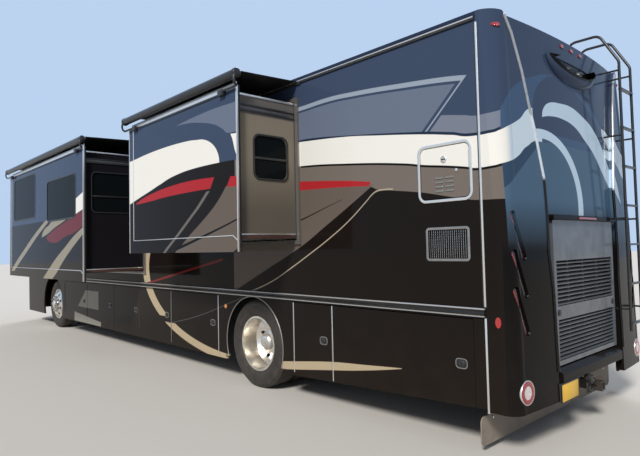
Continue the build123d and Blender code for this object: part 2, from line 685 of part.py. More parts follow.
def front_axle():
    """Dropped beam with an eye at each end for the kingpin."""
    beam = block((WHEELBASE - 45, WHEELBASE + 45), (-KINGPIN_Y, KINGPIN_Y), (TYRE_RADIUS - 60, TYRE_RADIUS + 50))
    bore = KINGPIN_RADIUS + RUNNING_CLEARANCE
    for side in (-1, 1):
        beam += Pos(WHEELBASE, side * KINGPIN_Y, TYRE_RADIUS) * Cylinder(50, 2 * EYE_HALF_HEIGHT)
        beam -= Pos(WHEELBASE, side * KINGPIN_Y, TYRE_RADIUS) * Cylinder(bore, 4 * EYE_HALF_HEIGHT)
    saddle = block((WHEELBASE - 40, WHEELBASE + 40), RAIL_Y, (TYRE_RADIUS + 40, RAIL_Z[0]))
    return beam + saddle + right_side(saddle)


nodes["rear_axle"] = rear_axle()
nodes["front_axle"] = front_axle()


def knuckle():
    """Left knuckle: a fork on the kingpin, a spindle and a brake plate."""
    pin = Pos(WHEELBASE, KINGPIN_Y, TYRE_RADIUS) * Cylinder(KINGPIN_RADIUS, 2 * EYE_HALF_HEIGHT + 80)
    shape = pin
    width = (WHEELBASE - 50, WHEELBASE + 50)
    for side in (-1, 1):
        low = TYRE_RADIUS + side * (EYE_HALF_HEIGHT + FORK_GAP + 18)
        shape += Pos(WHEELBASE, KINGPIN_Y, low) * Cylinder(52, 36)
        shape += block(width, (KINGPIN_Y, KINGPIN_Y + 100), (low - 18, low + 18))
    reach = EYE_HALF_HEIGHT + FORK_GAP + 36
    shape += block(width, (KINGPIN_Y + 60, KINGPIN_Y + 100), (TYRE_RADIUS - reach, TYRE_RADIUS + reach))
    shape += rod((WHEELBASE, KINGPIN_Y + 90, TYRE_RADIUS), (WHEELBASE, FRONT_WHEEL_Y + 130, TYRE_RADIUS), SPINDLE_RADIUS)
    shape += rod((WHEELBASE, KINGPIN_Y + 96, TYRE_RADIUS), (WHEELBASE, KINGPIN_Y + 112, TYRE_RADIUS), 200)
    return shape


nodes["left_knuckle"] = knuckle()
nodes["right_knuckle"] = right_side(knuckle())


# Wheels, drawn about the origin with the outside towards +Y

def tyre():
    """Road tyre as a solid ring with bulged side walls."""
    half = TYRE_HALF_WIDTH
    side = [
        (BEAD_RADIUS, 100), (BEAD_RADIUS + 18, 105), (BEAD_RADIUS + 45, half - 10), (BEAD_RADIUS + 95, half),
        (TYRE_RADIUS - 55, half - 3), (TYRE_RADIUS - 18, half - 15), (TYRE_RADIUS, half - 34),
    ]
    return revolved_y([*side, *((radius, -y) for radius, y in reversed(side))])


RIM_OUTER = BEAD_RADIUS - 0.5
RIM_INNER = RIM_OUTER - 9
RIM_LIP = BEAD_RADIUS + 12
HAND_HOLES = 10


def rim():
    """Wheel with its disc set out to the mounting face at +Y."""
    face = WHEEL_OFFSET
    shape = revolved_y([
        (RIM_OUTER, -104.5), (RIM_LIP, -104.5), (RIM_LIP, -114), (RIM_INNER, -114), (RIM_INNER, 74),
        (238, 122), (198, face - 12), (112, face - 12), (112, face), (202, face), (248, 134), (RIM_INNER, 98),
        (RIM_INNER, 114), (RIM_LIP, 114), (RIM_LIP, 104.5), (RIM_OUTER, 104.5),
    ])
    for number in range(HAND_HOLES):
        turn = Rot(0, 360 * (number + 0.5) / HAND_HOLES, 0)
        shape -= turn * Pos(226, 120, 0) * Rot(90, 0, 0) * Cylinder(22, 120)
    return shape


def hub(low, high, bore, radius):
    """Hub barrel with a domed cap at its outer end, hollow for the spindle."""
    shape = revolved_y([
        (0, low), (radius, low), (radius, high - 66), (0.7 * radius, high - 58), (0.68 * radius, high - 20),
        (0.55 * radius, high - 5), (0.3 * radius, high), (0, high),
    ])
    return shape - Pos(0, (low + high) / 2 - 30, 0) * Rot(90, 0, 0) * Cylinder(bore, high - low)


def set_wheel(shape, x, y):
    return Pos(x, y, TYRE_RADIUS) * shape


front_rim = rim() + hub(30, WHEEL_OFFSET + 60, SPINDLE_RADIUS + RUNNING_CLEARANCE, 113)
nodes["front_left_tyre"] = set_wheel(tyre(), WHEELBASE, FRONT_WHEEL_Y)
nodes["front_left_wheel"] = set_wheel(front_rim, WHEELBASE, FRONT_WHEEL_Y)
nodes["front_right_tyre"] = right_side(nodes["front_left_tyre"])
nodes["front_right_wheel"] = right_side(nodes["front_left_wheel"])

outer_rim = right_side(rim())
twin_y = INNER_TWIN_Y - OUTER_TWIN_Y
rear_hub = hub(-WHEEL_OFFSET - 60, 20, AXLE_END_RADIUS + RUNNING_CLEARANCE, 128)
twin_rims = outer_rim + Pos(0, twin_y, 0) * rim() + rear_hub
twin_tyres = joined([tyre(), Pos(0, twin_y, 0) * tyre()])
nodes["rear_left_tyres"] = set_wheel(twin_tyres, 0, OUTER_TWIN_Y)
nodes["rear_left_wheels"] = set_wheel(twin_rims, 0, OUTER_TWIN_Y)
nodes["rear_right_tyres"] = right_side(nodes["rear_left_tyres"])
nodes["rear_right_wheels"] = right_side(nodes["rear_left_wheels"])


# Slide-out rooms

REAR_SLIDE_END_WINDOW = {"y": (HALF_WIDTH + 130, HALF_WIDTH + 520), "z": (2200, 2610)}
FRONT_SLIDE_END_WINDOW = {"y": (HALF_WIDTH + 200, HALF_WIDTH + 760), "z": (2090, 2640)}


def slide_room(slide, windows, end_window):
    """A slide-out's box, open to the inside of the coach, with its overlapping face."""
    (x0, x1), (z0, z1), reach = slide["x"], slide["z"], slide["reach"]
    outer_y = HALF_WIDTH + reach
    face_inner = outer_y - SLIDE_WALL
    room = block((x0, x1), (SLIDE_INNER_Y, outer_y), (z0, z1))
    hollow_x, hollow_z = (x0 + SLIDE_WALL, x1 - SLIDE_WALL), (z0 + SLIDE_WALL, z1 - SLIDE_WALL)
    room -= block(hollow_x, (SLIDE_INNER_Y - 1, face_inner), hollow_z)
    flange_x, flange_z = (x0 - SLIDE_FLANGE, x1 + SLIDE_FLANGE), (z0 - SLIDE_SKIRT, z1 + SLIDE_FLANGE)
    room += block(flange_x, (face_inner, outer_y), flange_z)
    for window in windows:
        room -= pane_y(window, (face_inner - 10, outer_y + 10))
    room -= end_pane(slide, end_window, 0)
    return room


def end_pane(slide, window, shrink, x=None):
    """The rounded window in a slide-out's rear end wall, as a prism along X."""
    (y0, y1), (z0, z1) = window["y"], window["z"]
    low, high = x or (slide["x"][0] - 10, slide["x"][0] + SLIDE_WALL + 10)
    face = Plane((low, (y0 + y1) / 2, (z0 + z1) / 2), x_dir=(0, 1, 0), z_dir=(1, 0, 0))
    outline = RectangleRounded(y1 - y0 - 2 * shrink, z1 - z0 - 2 * shrink, WINDOW_RADIUS - shrink)
    return extrude(face * outline, amount=high - low)


def slide_glass(slide, windows, end_window):
    """The panes of a slide-out."""
    outer_y = HALF_WIDTH + slide["reach"]
    panes = [pane_y(window, (outer_y - GLASS - 2, outer_y - 2), GLASS_GAP) for window in windows]
    x0 = slide["x"][0]
    panes.append(end_pane(slide, end_window, GLASS_GAP, x=(x0 + 4, x0 + 4 + GLASS)))
    return joined(panes)


ARM_RADIUS = 14
ARM_FOOT = 210  # from the face's end to the middle of an arm's foot


def roller_arm(x, inward, face_y, axis_y, axis_z, top_z):
    """End arm of an awning roller: an end plate, a hooked bar down to a rail along the face, and its foot."""
    low_z = top_z - 28
    foot = x + inward * (ARM_FOOT + ROLLER_END)
    hook = [(axis_y, axis_z), (axis_y + 34, axis_z - 42), (axis_y + 34, low_z + 52), (axis_y, low_z)]
    arm = rod((x - 18, axis_y, axis_z), (x + 18, axis_y, axis_z), ROLLER_RADIUS + 8)
    for start, end in zip(hook, hook[1:]):
        arm += prism_x(stadium(start, end, ARM_RADIUS), (x - ARM_RADIUS, x + ARM_RADIUS))
    arm += block(sorted((x, foot)), (axis_y - 11, axis_y + 11), (low_z - 11, low_z + 11))
    return arm + block((foot - 45, foot + 45), (face_y, axis_y + 13), (low_z - 42, low_z + 18))


def roller(slide):
    """Awning roller between two end arms on the top of a slide-out's face."""
    (x0, x1), z1 = slide["x"], slide["z"][1] + SLIDE_FLANGE
    face_y = HALF_WIDTH + slide["reach"]
    y, z = face_y + ROLLER_OUT, z1 + ROLLER_RISE - SLIDE_FLANGE
    ends = (x0 - SLIDE_FLANGE - ROLLER_END, x1 + SLIDE_FLANGE + ROLLER_END)
    shape = rod((ends[0], y, z), (ends[1], y, z), ROLLER_RADIUS)
    for x, inward in ((ends[0], 1), (ends[1], -1)):
        shape += roller_arm(x, inward, face_y, y, z, z1)
    return shape


AWNING_THICKNESS = 4
TOPPER_FALL = 6


def topper(slide):
    """Awning cloth from a rail on the wall out to the top of the roller."""
    x0, x1 = slide["x"]
    y1 = HALF_WIDTH + slide["reach"] + ROLLER_OUT
    z1 = slide["z"][1] + ROLLER_RISE + ROLLER_RADIUS + 0.6
    z0 = z1 + TOPPER_FALL
    y0 = HALF_WIDTH + 1
    points = [(y0, z0), (y1, z1), (y1, z1 + AWNING_THICKNESS), (y0, z0 + AWNING_THICKNESS)]
    return prism_x(points, (x0 - SLIDE_FLANGE, x1 + SLIDE_FLANGE))


nodes["rear_slide"] = slide_room(REAR_SLIDE, (), REAR_SLIDE_END_WINDOW)
nodes["rear_slide_glass"] = slide_glass(REAR_SLIDE, (), REAR_SLIDE_END_WINDOW)
nodes["rear_slide_roller"] = roller(REAR_SLIDE)
nodes["rear_slide_awning"] = topper(REAR_SLIDE)
nodes["front_slide"] = slide_room(FRONT_SLIDE, SLIDE_WINDOWS, FRONT_SLIDE_END_WINDOW)
nodes["front_slide_glass"] = slide_glass(FRONT_SLIDE, SLIDE_WINDOWS, FRONT_SLIDE_END_WINDOW)
nodes["front_slide_roller"] = roller(FRONT_SLIDE)
nodes["front_slide_awning"] = topper(FRONT_SLIDE)


# Glass of the coach itself

def coach_glass():
    panes = [*windscreen().solids()]
    panes += pane_y(DRIVER_WINDOW, (HALF_WIDTH - 2 - GLASS, HALF_WIDTH - 2), GLASS_GAP).solids()
    for window in RIGHT_WINDOWS:
        panes += pane_y(window, (-HALF_WIDTH + 2, -HALF_WIDTH + 2 + GLASS), GLASS_GAP).solids()
    return joined(panes)


nodes["glass"] = coach_glass()


# Entry door

ENTRY_WINDOW = (ENTRY_X[0] + 110, ENTRY_X[1] - 110, 1750, 2620)


def entry_door():
    panel = block(ENTRY_X, (-HALF_WIDTH, -HALF_WIDTH + ENTRY_THICKNESS), ENTRY_Z)
    panel += right_side(barrel(ENTRY_X[1] + GAP / 2, (ENTRY_Z[0] + HINGE_END, ENTRY_Z[1] - HINGE_END)))
    return panel - pane_y(ENTRY_WINDOW, (-HALF_WIDTH - WALL, -HALF_WIDTH + 2 * WALL))


nodes["entry_door"] = entry_door()
nodes["entry_door_glass"] = pane_y(ENTRY_WINDOW, (-HALF_WIDTH + 2, -HALF_WIDTH + 2 + GLASS), GLASS_GAP)


# Engine door with its louvres

def engine_door():
    (z0, z1), half = ENGINE_DOOR_Z, ENGINE_DOOR_HALF
    x = (ENGINE_DOOR_X, ENGINE_DOOR_X + ENGINE_DOOR_THICKNESS)
    door = block(x, (-half, half), (z0, z1))
    for low, high, count in LOUVRE_BLOCKS:
        door -= block((x[0] - 1, x[1] + 1), (-half + 40, half - 40), (low, high))
        pitch = (high - low) / count
        blade = Rot(0, -LOUVRE_TILT, 0) * Box(LOUVRE_DEPTH, 2 * half - 70, LOUVRE_THICKNESS)
        for number in range(count):
            door += Pos((x[0] + x[1]) / 2, 0, low + pitch * (number + 0.5)) * blade
        for y in (-300, 0, 300):
            door += block((x[1] - 8, x[1]), (y - 12, y + 12), (low - 5, high + 5))
    end = half - HINGE_END
    return door + rod((ENGINE_HINGE_X, -end, ENGINE_HINGE_Z), (ENGINE_HINGE_X, end, ENGINE_HINGE_Z), ENGINE_HINGE_RADIUS)


nodes["engine_door"] = engine_door()


# Things on the roof, the ladder, mirrors, patio awning, lamps and guards

# x, length, width, height
ROOF_UNITS = (
    (-1000, 840, 700, 430),
    (2300, 840, 700, 430),
    (WHEELBASE - 1210, 840, 700, 430),
    (600, 420, 420, 95),
    (4300, 420, 420, 95),
)


def roof_units():
    """Air conditioner shrouds and vents with rounded edges, seated on the roof's crown."""
    parts = []
    for x, length, width, height in ROOF_UNITS:
        base = ROOF_CROWN_Z - 5
        edge = height * 0.3
        sections = [(0, 0, 60), (0.55, edge * 0.5, 70), (0.86, edge * 1.3, 90), (1, edge * 2.6, 70)]
        outline = [
            Pos(x, 0, base + share * height) * RectangleRounded(length - pull, width - pull, radius)
            for share, pull, radius in sections
        ]
        parts.append(loft(outline, ruled=True) - nodes["roof"])
    return joined(parts)


nodes["roof_units"] = roof_units()

LADDER_RAILS_Y = (-690, -990)
LADDER_X = REAR_FOOT_X - 57
LADDER_TUBE = 13
LADDER_BEND = 90
LADDER_FOOT_Z = 700
LADDER_RUNGS = 7
LADDER_PITCH = 365
LADDER_TOP_Z = ROOF_EDGE_Z + 262
LADDER_HOOK_X = REAR_JOINT_X + 150


def ladder():
    """Two bent tubes with rungs, held off the rear cap, hooked over onto the roof."""
    shape = None
    high = LADDER_TOP_Z
    for y in LADDER_RAILS_Y:
        foot = (LADDER_X, y, LADDER_FOOT_Z)
        path = FilletPolyline(
            foot, (LADDER_X, y, high - 290), (LADDER_X + 165, y, high), (LADDER_HOOK_X, y, high),
            (LADDER_HOOK_X, y, ROOF_EDGE_Z + 20), radius=LADDER_BEND,
        )
        tube = sweep(Plane(foot, x_dir=(1, 0, 0), z_dir=(0, 0, 1)) * Circle(LADDER_TUBE), path=path)
        shape = tube if shape is None else shape + tube
        for z in (900, 1740, 2520, 3135):
            shape += rod((LADDER_X, y, z), (rear_surface_x(y, z) + 45, y, z), 9)
    span = (LADDER_RAILS_Y[1], LADDER_RAILS_Y[0])
    for number in range(LADDER_RUNGS):
        z = LADDER_FOOT_Z + 66 + LADDER_PITCH * number
        shape += block((LADDER_X - 16, LADDER_X + 16), span, (z - 9, z + 9))
    return shape


nodes["ladder"] = ladder() - nodes["rear_cap"] - nodes["roof"]

MIRROR_X = FRONT_JOINT_X + 400
MIRROR_Z = (2050, 2680)


def mirror_arm():
    """Left mirror: an arm from the cap and a tall rounded head."""
    height = MIRROR_Z[1] - 30
    arm = rod((MIRROR_X - 180, HALF_WIDTH - 60, height), (MIRROR_X, HALF_WIDTH + 170, height), 22)
    head = block((MIRROR_X - 60, MIRROR_X + 60), (HALF_WIDTH + 60, HALF_WIDTH + 290), MIRROR_Z)
    head = fillet(head.edges(), 28)
    return (arm + head) - nodes["front_cap"]


left_mirror = mirror_arm()
nodes["mirrors"] = joined([left_mirror, right_side(left_mirror)])

AWNING_X = (2100, WHEELBASE - 210)
AWNING_Z = 3075
AWNING_RADIUS = 68


def patio_awning():
    """Rolled-up awning along the top of the right wall with its two arms folded down the wall."""
    y = -HALF_WIDTH - AWNING_RADIUS
    shape = rod((AWNING_X[0], y, AWNING_Z), (AWNING_X[1], y, AWNING_Z), AWNING_RADIUS)
    shape += block(AWNING_X, (-HALF_WIDTH - 40, -HALF_WIDTH), (AWNING_Z + 20, AWNING_Z + 85))
    for low in (AWNING_X[0], AWNING_X[1] - 60):
        shape += block((low, low + 60), (-HALF_WIDTH - 45, -HALF_WIDTH), (RAIL_TRIM_Z[1] + 120, AWNING_Z))
    return shape


nodes["patio_awning"] = patio_awning()

GUARD_X = REAR_JOINT_X + 90
GUARD_Z = (50, 262)
GUARD_HALF = HALF_WIDTH - 43


def mud_guard():
    """Long rubber guard across the back with rounded corners, on a strap under the hitch."""
    centre = (GUARD_X, 0, (GUARD_Z[0] + GUARD_Z[1]) / 2)
    face = Plane(centre, x_dir=(0, 1, 0), z_dir=(1, 0, 0))
    guard = extrude(face * RectangleRounded(2 * GUARD_HALF, GUARD_Z[1] - GUARD_Z[0], 45), amount=8)
    strap_z = (GUARD_Z[1] - 60, HITCH_Z - HITCH_OUTER)
    return guard + block((GUARD_X, GUARD_X + 40), (-HITCH_OUTER, HITCH_OUTER), strap_z)


nodes["mud_guard"] = mud_guard()


# Cab: dash, seats, steering wheel and entry steps
DASH_X = FRONT_JOINT_X - 80
DRIVER_Y = HALF_WIDTH - 663
SEATS_Y = (DRIVER_Y, -DRIVER_Y + 320)
SEAT_X = DASH_X - 860


def seat(y):
    """Armchair on a pedestal, facing forward."""
    base_z = FLOOR_Z + FLOOR_THICKNESS
    shape = block((SEAT_X + 120, SEAT_X + 400), (y - 140, y + 140), (base_z, base_z + 330))
    shape += fillet(block((SEAT_X, SEAT_X + 520), (y - 250, y + 250), (base_z + 320, base_z + 470)).edges(), 40)
    back = [(-60, 0), (70, 0), (-10, 720), (-120, 720)]
    back = prism_y([(SEAT_X + x, base_z + 400 + z) for x, z in back], (y - 240, y + 240))
    shape += fillet(back.edges(), 38)
    head = block((SEAT_X - 130, SEAT_X - 30), (y - 150, y + 150), (base_z + 1060, base_z + 1260))
    shape += fillet(head.edges(), 32)
    for side in (-1, 1):
        arm_y = sorted((y + side * 235, y + side * 300))
        shape += fillet(block((SEAT_X - 40, SEAT_X + 400), arm_y, (base_z + 560, base_z + 620)).edges(), 22)
        shape += block((SEAT_X + 20, SEAT_X + 80), arm_y, (base_z + 380, base_z + 590))
    return shape


def cab():
    """Dash across the cab with its steering column and wheel, and two seats."""
    base_z = FLOOR_Z + FLOOR_THICKNESS
    points = [(0, 0), (280, 0), (280, 400), (140, 400), (0, 320)]
    dash = prism_y([(DASH_X + x, base_z + z) for x, z in points], (-HALF_WIDTH + 583, HALF_WIDTH - 133))
    wheel = Pos(DASH_X - 150, DRIVER_Y, base_z + 500) * Rot(0, -62, 0)
    column = rod((DASH_X + 60, DRIVER_Y, base_z + 350), (DASH_X - 150, DRIVER_Y, base_z + 500), 30)
    spokes = Cylinder(42, 26) + Box(360, 34, 14) + Box(34, 360, 14)
    dash += column + wheel * (Torus(190, 15) + spokes)
    return joined([dash, *(seat(y) for y in SEATS_Y)])


nodes["cab_fittings"] = cab()

STEP_PLATE = 15


def entry_steps():
    """Step well hung in the floor's notch: two cheeks, a back plate and solid treads."""
    (x0, x1), (y0, y1) = STEP_X, STEP_WELL_Y
    z = (STEP_FOOT_Z, FLOOR_Z + FLOOR_THICKNESS)
    well = block((x0, x1), (y1 - STEP_PLATE, y1), z)
    well += block((x0, x0 + STEP_PLATE), (y0, y1), z) + block((x1 - STEP_PLATE, x1), (y0, y1), z)
    depth = (y1 - y0) / STEP_COUNT
    for number in range(STEP_COUNT):
        top = STEP_FOOT_Z + (number + 1) * (FLOOR_Z - STEP_FOOT_Z) / (STEP_COUNT + 1)
        well += block((x0, x1), (y0 + number * depth, y1), (STEP_FOOT_Z, top))
    return well


nodes["entry_steps"] = entry_steps()


# Lamps

MARKER = (-2950, 972)


def lamps():
    """Lenses laid in the caps' pockets and on their surfaces."""
    lens = front_solid(4) - front_solid(24)
    left = [lens & prism_x(HEAD_LAMP, NOSE_X)]
    fog = stadium((FOG_LAMP[0], FOG_LAMP[1]), (FOG_LAMP[0] + 60, FOG_LAMP[1]), FOG_LAMP[2])
    left.append(lens & prism_x(fog, NOSE_X))
    for start, end in TAIL_SLITS:
        left.append(rear_layer(-SLIT_DEPTH + 8, SLIT_DEPTH, stadium(start, end, TAIL_LENS_RADIUS)))
    left.append(rear_layer(6, 0, stadium(BACKUP_LAMP, (BACKUP_LAMP[0] + 1, BACKUP_LAMP[1]), BACKUP_RADIUS, 12)))
    left.append(rear_layer(10, 0, stadium((1196, 3130), (1226, 3130), 14, 3)))
    marker = Pos(MARKER[0], HALF_WIDTH, MARKER[1]) * Rot(90, 0, 0) * Ellipse(22, 38)
    left.append(extrude(marker, amount=7, dir=(0, 1, 0)))
    parts = [*left, *(right_side(part) for part in left)]
    for y in (-190, 0, 190):
        parts.append(rear_layer(-REAR_RECESS + 10, REAR_RECESS, stadium((y - 16, 3195), (y + 16, 3195), 14, 3)))
    face_x = ENGINE_DOOR_X - 28
    low = ENGINE_HINGE_Z + ENGINE_HINGE_RADIUS + SEAT
    parts.append(block((face_x - 5, face_x), (-180, 180), (low + 8, low + 24)))
    return joined(parts)


nodes["lamps"] = lamps()


def moved_to_origin(shapes):
    """Shift that brings the middle of the overall box over the origin."""
    boxes = [shape.bounding_box() for shape in shapes.values()]
    low = [min(box.min.X for box in boxes), min(box.min.Y for box in boxes)]
    high = [max(box.max.X for box in boxes), max(box.max.Y for box in boxes)]
    return Pos(-(low[0] + high[0]) / 2, -(low[1] + high[1]) / 2, 0)


SHIFT = moved_to_origin(nodes)

if __name__ == "__main__":
    os.makedirs("parts", exist_ok=True)
    for name, shape in nodes.items():
        export_step(SHIFT * shape, f"parts/{name}.step")
    print("shift", SHIFT.position, "nodes", len(nodes))
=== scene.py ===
import math

import bpy
from mathutils import Matrix, Vector


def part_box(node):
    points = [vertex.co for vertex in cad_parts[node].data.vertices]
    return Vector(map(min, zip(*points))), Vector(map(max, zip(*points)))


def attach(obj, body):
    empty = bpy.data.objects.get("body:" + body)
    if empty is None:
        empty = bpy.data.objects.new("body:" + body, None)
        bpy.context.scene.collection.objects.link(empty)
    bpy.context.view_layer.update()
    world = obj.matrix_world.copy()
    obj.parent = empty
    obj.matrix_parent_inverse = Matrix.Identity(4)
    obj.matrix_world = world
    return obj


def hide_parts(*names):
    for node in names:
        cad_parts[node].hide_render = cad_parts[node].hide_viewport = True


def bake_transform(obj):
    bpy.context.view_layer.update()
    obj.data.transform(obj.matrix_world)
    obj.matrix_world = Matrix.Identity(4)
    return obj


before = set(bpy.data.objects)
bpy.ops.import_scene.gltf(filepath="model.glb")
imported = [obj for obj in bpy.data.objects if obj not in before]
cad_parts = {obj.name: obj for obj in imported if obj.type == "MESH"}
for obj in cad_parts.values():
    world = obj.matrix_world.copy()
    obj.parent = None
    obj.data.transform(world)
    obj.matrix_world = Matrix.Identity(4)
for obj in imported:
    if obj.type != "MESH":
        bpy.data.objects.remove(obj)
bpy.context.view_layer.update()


# The view: the camera stands where the photograph was taken, off the coach's left rear corner at eye
# height. The coach's own origin is on the ground under the rear axle, so positions below are written
# from there, forward, left and up, and moved into the frame by (OX, OY).
axle_low, axle_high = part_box("rear_axle")
OX = (axle_low.x + axle_high.x) / 2
OY = (axle_low.y + axle_high.y) / 2
PICTURE_WIDTH = 640
FOCAL_PIXELS = 540.34
SENSOR = 36
yaw, pitch, roll = (math.radians(angle) for angle in (-42.588, 2.613, -1.243))
ahead = Vector((math.cos(yaw) * math.cos(pitch), math.sin(yaw) * math.cos(pitch), math.sin(pitch)))
level = Vector((ahead.y, -ahead.x, 0)).normalized()
upright = level.cross(ahead)
right = level * math.cos(roll) + upright * math.sin(roll)
above = upright * math.cos(roll) - level * math.sin(roll)
eye = Vector((OX - 4.924, OY + 4.806, 1.534))
bpy.ops.object.select_all(action="DESELECT")
bpy.ops.object.camera_add(location=eye)
camera = bpy.context.object
camera.matrix_world = Matrix((
    (right.x, above.x, -ahead.x, eye.x),
    (right.y, above.y, -ahead.y, eye.y),
    (right.z, above.z, -ahead.z, eye.z),
    (0, 0, 0, 1),
))
camera.data.lens = SENSOR * FOCAL_PIXELS / PICTURE_WIDTH
camera.data.shift_x = 2.132 / PICTURE_WIDTH
camera.data.shift_y = -5.671 / PICTURE_WIDTH
camera.data.clip_end = 200
bpy.context.scene.camera = camera
bpy.context.scene.view_settings.view_transform = "Standard"


# Chassis: pressed steel rails and cross members, welded and painted black, with the axles, knuckles,
# hitch and engine on them. Road grime lies on it in cloudy patches, with specks of rust.

class Value:
    """A number that varies over a surface. Arithmetic on it adds Math nodes."""

    def __init__(self, finish, socket):
        self.finish = finish
        self.socket = socket

    def math(self, operation, *others):
        return self.finish.node("ShaderNodeMath", {"operation": operation}, self, *others)

    def __add__(self, other):
        return self.math("ADD", other)

    def __sub__(self, other):
        return self.math("SUBTRACT", other)

    def __mul__(self, other):
        return self.math("MULTIPLY", other)

    def __truediv__(self, other):
        return self.math("DIVIDE", other)

    def __pow__(self, other):
        return self.math("POWER", other)

    def __rsub__(self, other):
        return self.finish.node("ShaderNodeMath", {"operation": "SUBTRACT"}, other, self)

    def __abs__(self):
        return self.math("ABSOLUTE")

    def __neg__(self):
        return self * -1

    def least(self, other):
        return self.math("MINIMUM", other)

    def most(self, other):
        return self.math("MAXIMUM", other)

    def sine(self):
        return self.math("SINE")

    def beyond(self, edge=0.0, soft=0.004):
        """1 where the value is over edge and 0 under it."""
        return self.finish.node("ShaderNodeMapRange", {}, self - edge, -soft / 2, soft / 2)

    def within(self, low, high, soft=0.004):
        """1 between two edges."""
        return self.beyond(low, soft) * (1 - self.beyond(high, soft))

    def line(self, points):
        """The height of a smooth drawn line through (value, height) points."""
        places = [place for place, _ in points]
        heights = [height for _, height in points]
        first, last = min(places), max(places)
        low, high = min(heights) - 0.02, max(heights) + 0.02
        wide, tall = last - first, high - low
        shares = sorted(((place - first) / wide, (height - low) / tall) for place, height in points)
        drawn = self.finish.node("ShaderNodeFloatCurve", {"points": shares}, 1.0, (self - first) / wide)
        return drawn * tall + low


class Finish:
    """A material made from nodes, with its surface position to hand in coach metres."""

    def __init__(self, name, **sockets):
        self.material = bpy.data.materials.new(name)
        self.material.use_nodes = True
        self.tree = self.material.node_tree
        self.shader = self.tree.nodes["Principled BSDF"]
        place = self.tree.nodes.new("ShaderNodeTexCoord").outputs["Object"]
        self.place = Value(self, place)
        split = self.tree.nodes.new("ShaderNodeSeparateXYZ")
        self.tree.links.new(place, split.inputs[0])
        self.x = Value(self, split.outputs[0]) - OX
        self.y = Value(self, split.outputs[1]) - OY
        self.z = Value(self, split.outputs[2])
        self.set(**sockets)

    def put(self, socket, value):
        if isinstance(value, Value):
            self.tree.links.new(value.socket, socket)
        elif isinstance(value, (tuple, list)) and socket.type == "RGBA":
            socket.default_value = (*value[:3], 1)
        else:
            socket.default_value = value

    def node(self, kind, settings, *values, **named):
        """Adds any node: its settings first, such as a curve's points, then its sockets by place or name."""
        made = self.tree.nodes.new(kind)
        for key, value in settings.items():
            if key == "points":
                made.mapping.extend = "HORIZONTAL"
                drawn = made.mapping.curves[0]
                drawn.points[0].location = value[0]
                drawn.points[1].location = value[-1]
                for point in value[1:-1]:
                    drawn.points.new(*point)
                made.mapping.update()
            else:
                setattr(made, key, value)
        for index, value in enumerate(values):
            self.put(made.inputs[index], value)
        for key, value in named.items():
            self.put(made.inputs[key], value)
        return Value(self, made.outputs[0])

    def set(self, **sockets):
        for key, value in sockets.items():
            name = key.replace("_", " ").title().replace("Ior", "IOR")
            self.put(self.shader.inputs[name], value)

    def mix(self, mask, under, over):
        """Colour over where the mask is 1 and colour under where it is 0."""
        made = self.tree.nodes.new("ShaderNodeMix")
        made.data_type = "RGBA"
        self.put(made.inputs[0], mask)
        self.put(made.inputs[6], under)
        self.put(made.inputs[7], over)
        return Value(self, made.outputs[2])

    def noise(self, scale, detail=4.0, stretch=(1, 1, 1)):
        """Even-sided cloudy noise from 0 to 1, scale in lumps per metre."""
        turned = self.node("ShaderNodeMapping", {}, self.place, Scale=stretch)
        return self.node("ShaderNodeTexNoise", {}, turned, Scale=scale, Detail=detail, Roughness=0.55)

    def relief(self, height, distance, strength=1.0):
        """Raises the surface by height times distance metres."""
        bump = self.node("ShaderNodeBump", {}, Height=height, Distance=distance, Strength=strength)
        self.put(self.shader.inputs["Normal"], bump)

    def mottled(self, scale, detail, first, second):
        """Base Color that drifts between two colours in cloudy lumps."""
        self.set(base_color=self.mix(self.noise(scale, detail), first, second))
        return self

    def grained(self, scale, distance):
        """A fine even grain."""
        self.relief(self.noise(scale, 2), distance)
        return self


chassis_steel = Finish("chassis_steel", metallic=0.3, roughness=0.55)
grime = chassis_steel.noise(6, 8)
speckle = chassis_steel.noise(70, 3)
steel_colour = chassis_steel.mix(grime, (0.02, 0.019, 0.018), (0.075, 0.062, 0.05))
rust = (grime * speckle).beyond(0.33, 0.06)
chassis_steel.set(base_color=chassis_steel.mix(rust, steel_colour, (0.13, 0.05, 0.022)),
                  roughness=grime * 0.5 + 0.3)
chassis_steel.relief(speckle, 0.0006)


def dress(names, finish):
    """Gives CAD nodes their material."""
    for name in names.split():
        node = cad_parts[name]
        node.data.materials.clear()
        node.data.materials.append(finish.material)


dress("chassis hitch rear_axle front_axle left_knuckle right_knuckle", chassis_steel)


# The engine block and gearbox are cast iron and aluminium under a film of oil; the radiator is a dark
# finned core. Both stand behind the louvred door.
cast_metal = Finish("cast_metal", metallic=0.4).grained(160, 0.001)
oil = cast_metal.noise(9, 6)
cast_metal.set(base_color=cast_metal.mix(oil, (0.03, 0.03, 0.032), (0.14, 0.13, 0.12)),
               roughness=oil * 0.5 + 0.25)
dress("engine", cast_metal)

radiator_core = Finish("radiator_core", metallic=0.5, roughness=0.5)
fins = (radiator_core.z * (math.pi * 2 / 0.009)).sine()
tubes = (radiator_core.y * (math.pi * 2 / 0.03)).sine()
core = radiator_core.mix(fins.beyond(0.2, 0.8), (0.004, 0.004, 0.004), (0.03, 0.03, 0.03))
radiator_core.set(base_color=radiator_core.mix(tubes.beyond(0.8, 0.3), core, (0.045, 0.045, 0.045)))
radiator_core.relief(fins * 0.5 + tubes * 0.5, 0.003)
dress("radiator", radiator_core)


# Storage bays, floor and step well: folded sheet painted grey and plywood under short-pile carpet, screwed
# to the chassis outriggers.
bay_lining = Finish("bay_lining", roughness=0.85).mottled(4, 5, (0.05, 0.05, 0.052), (0.12, 0.115, 0.11))
bay_lining.grained(400, 0.002)
dress("storage_bays floor entry_steps", bay_lining)


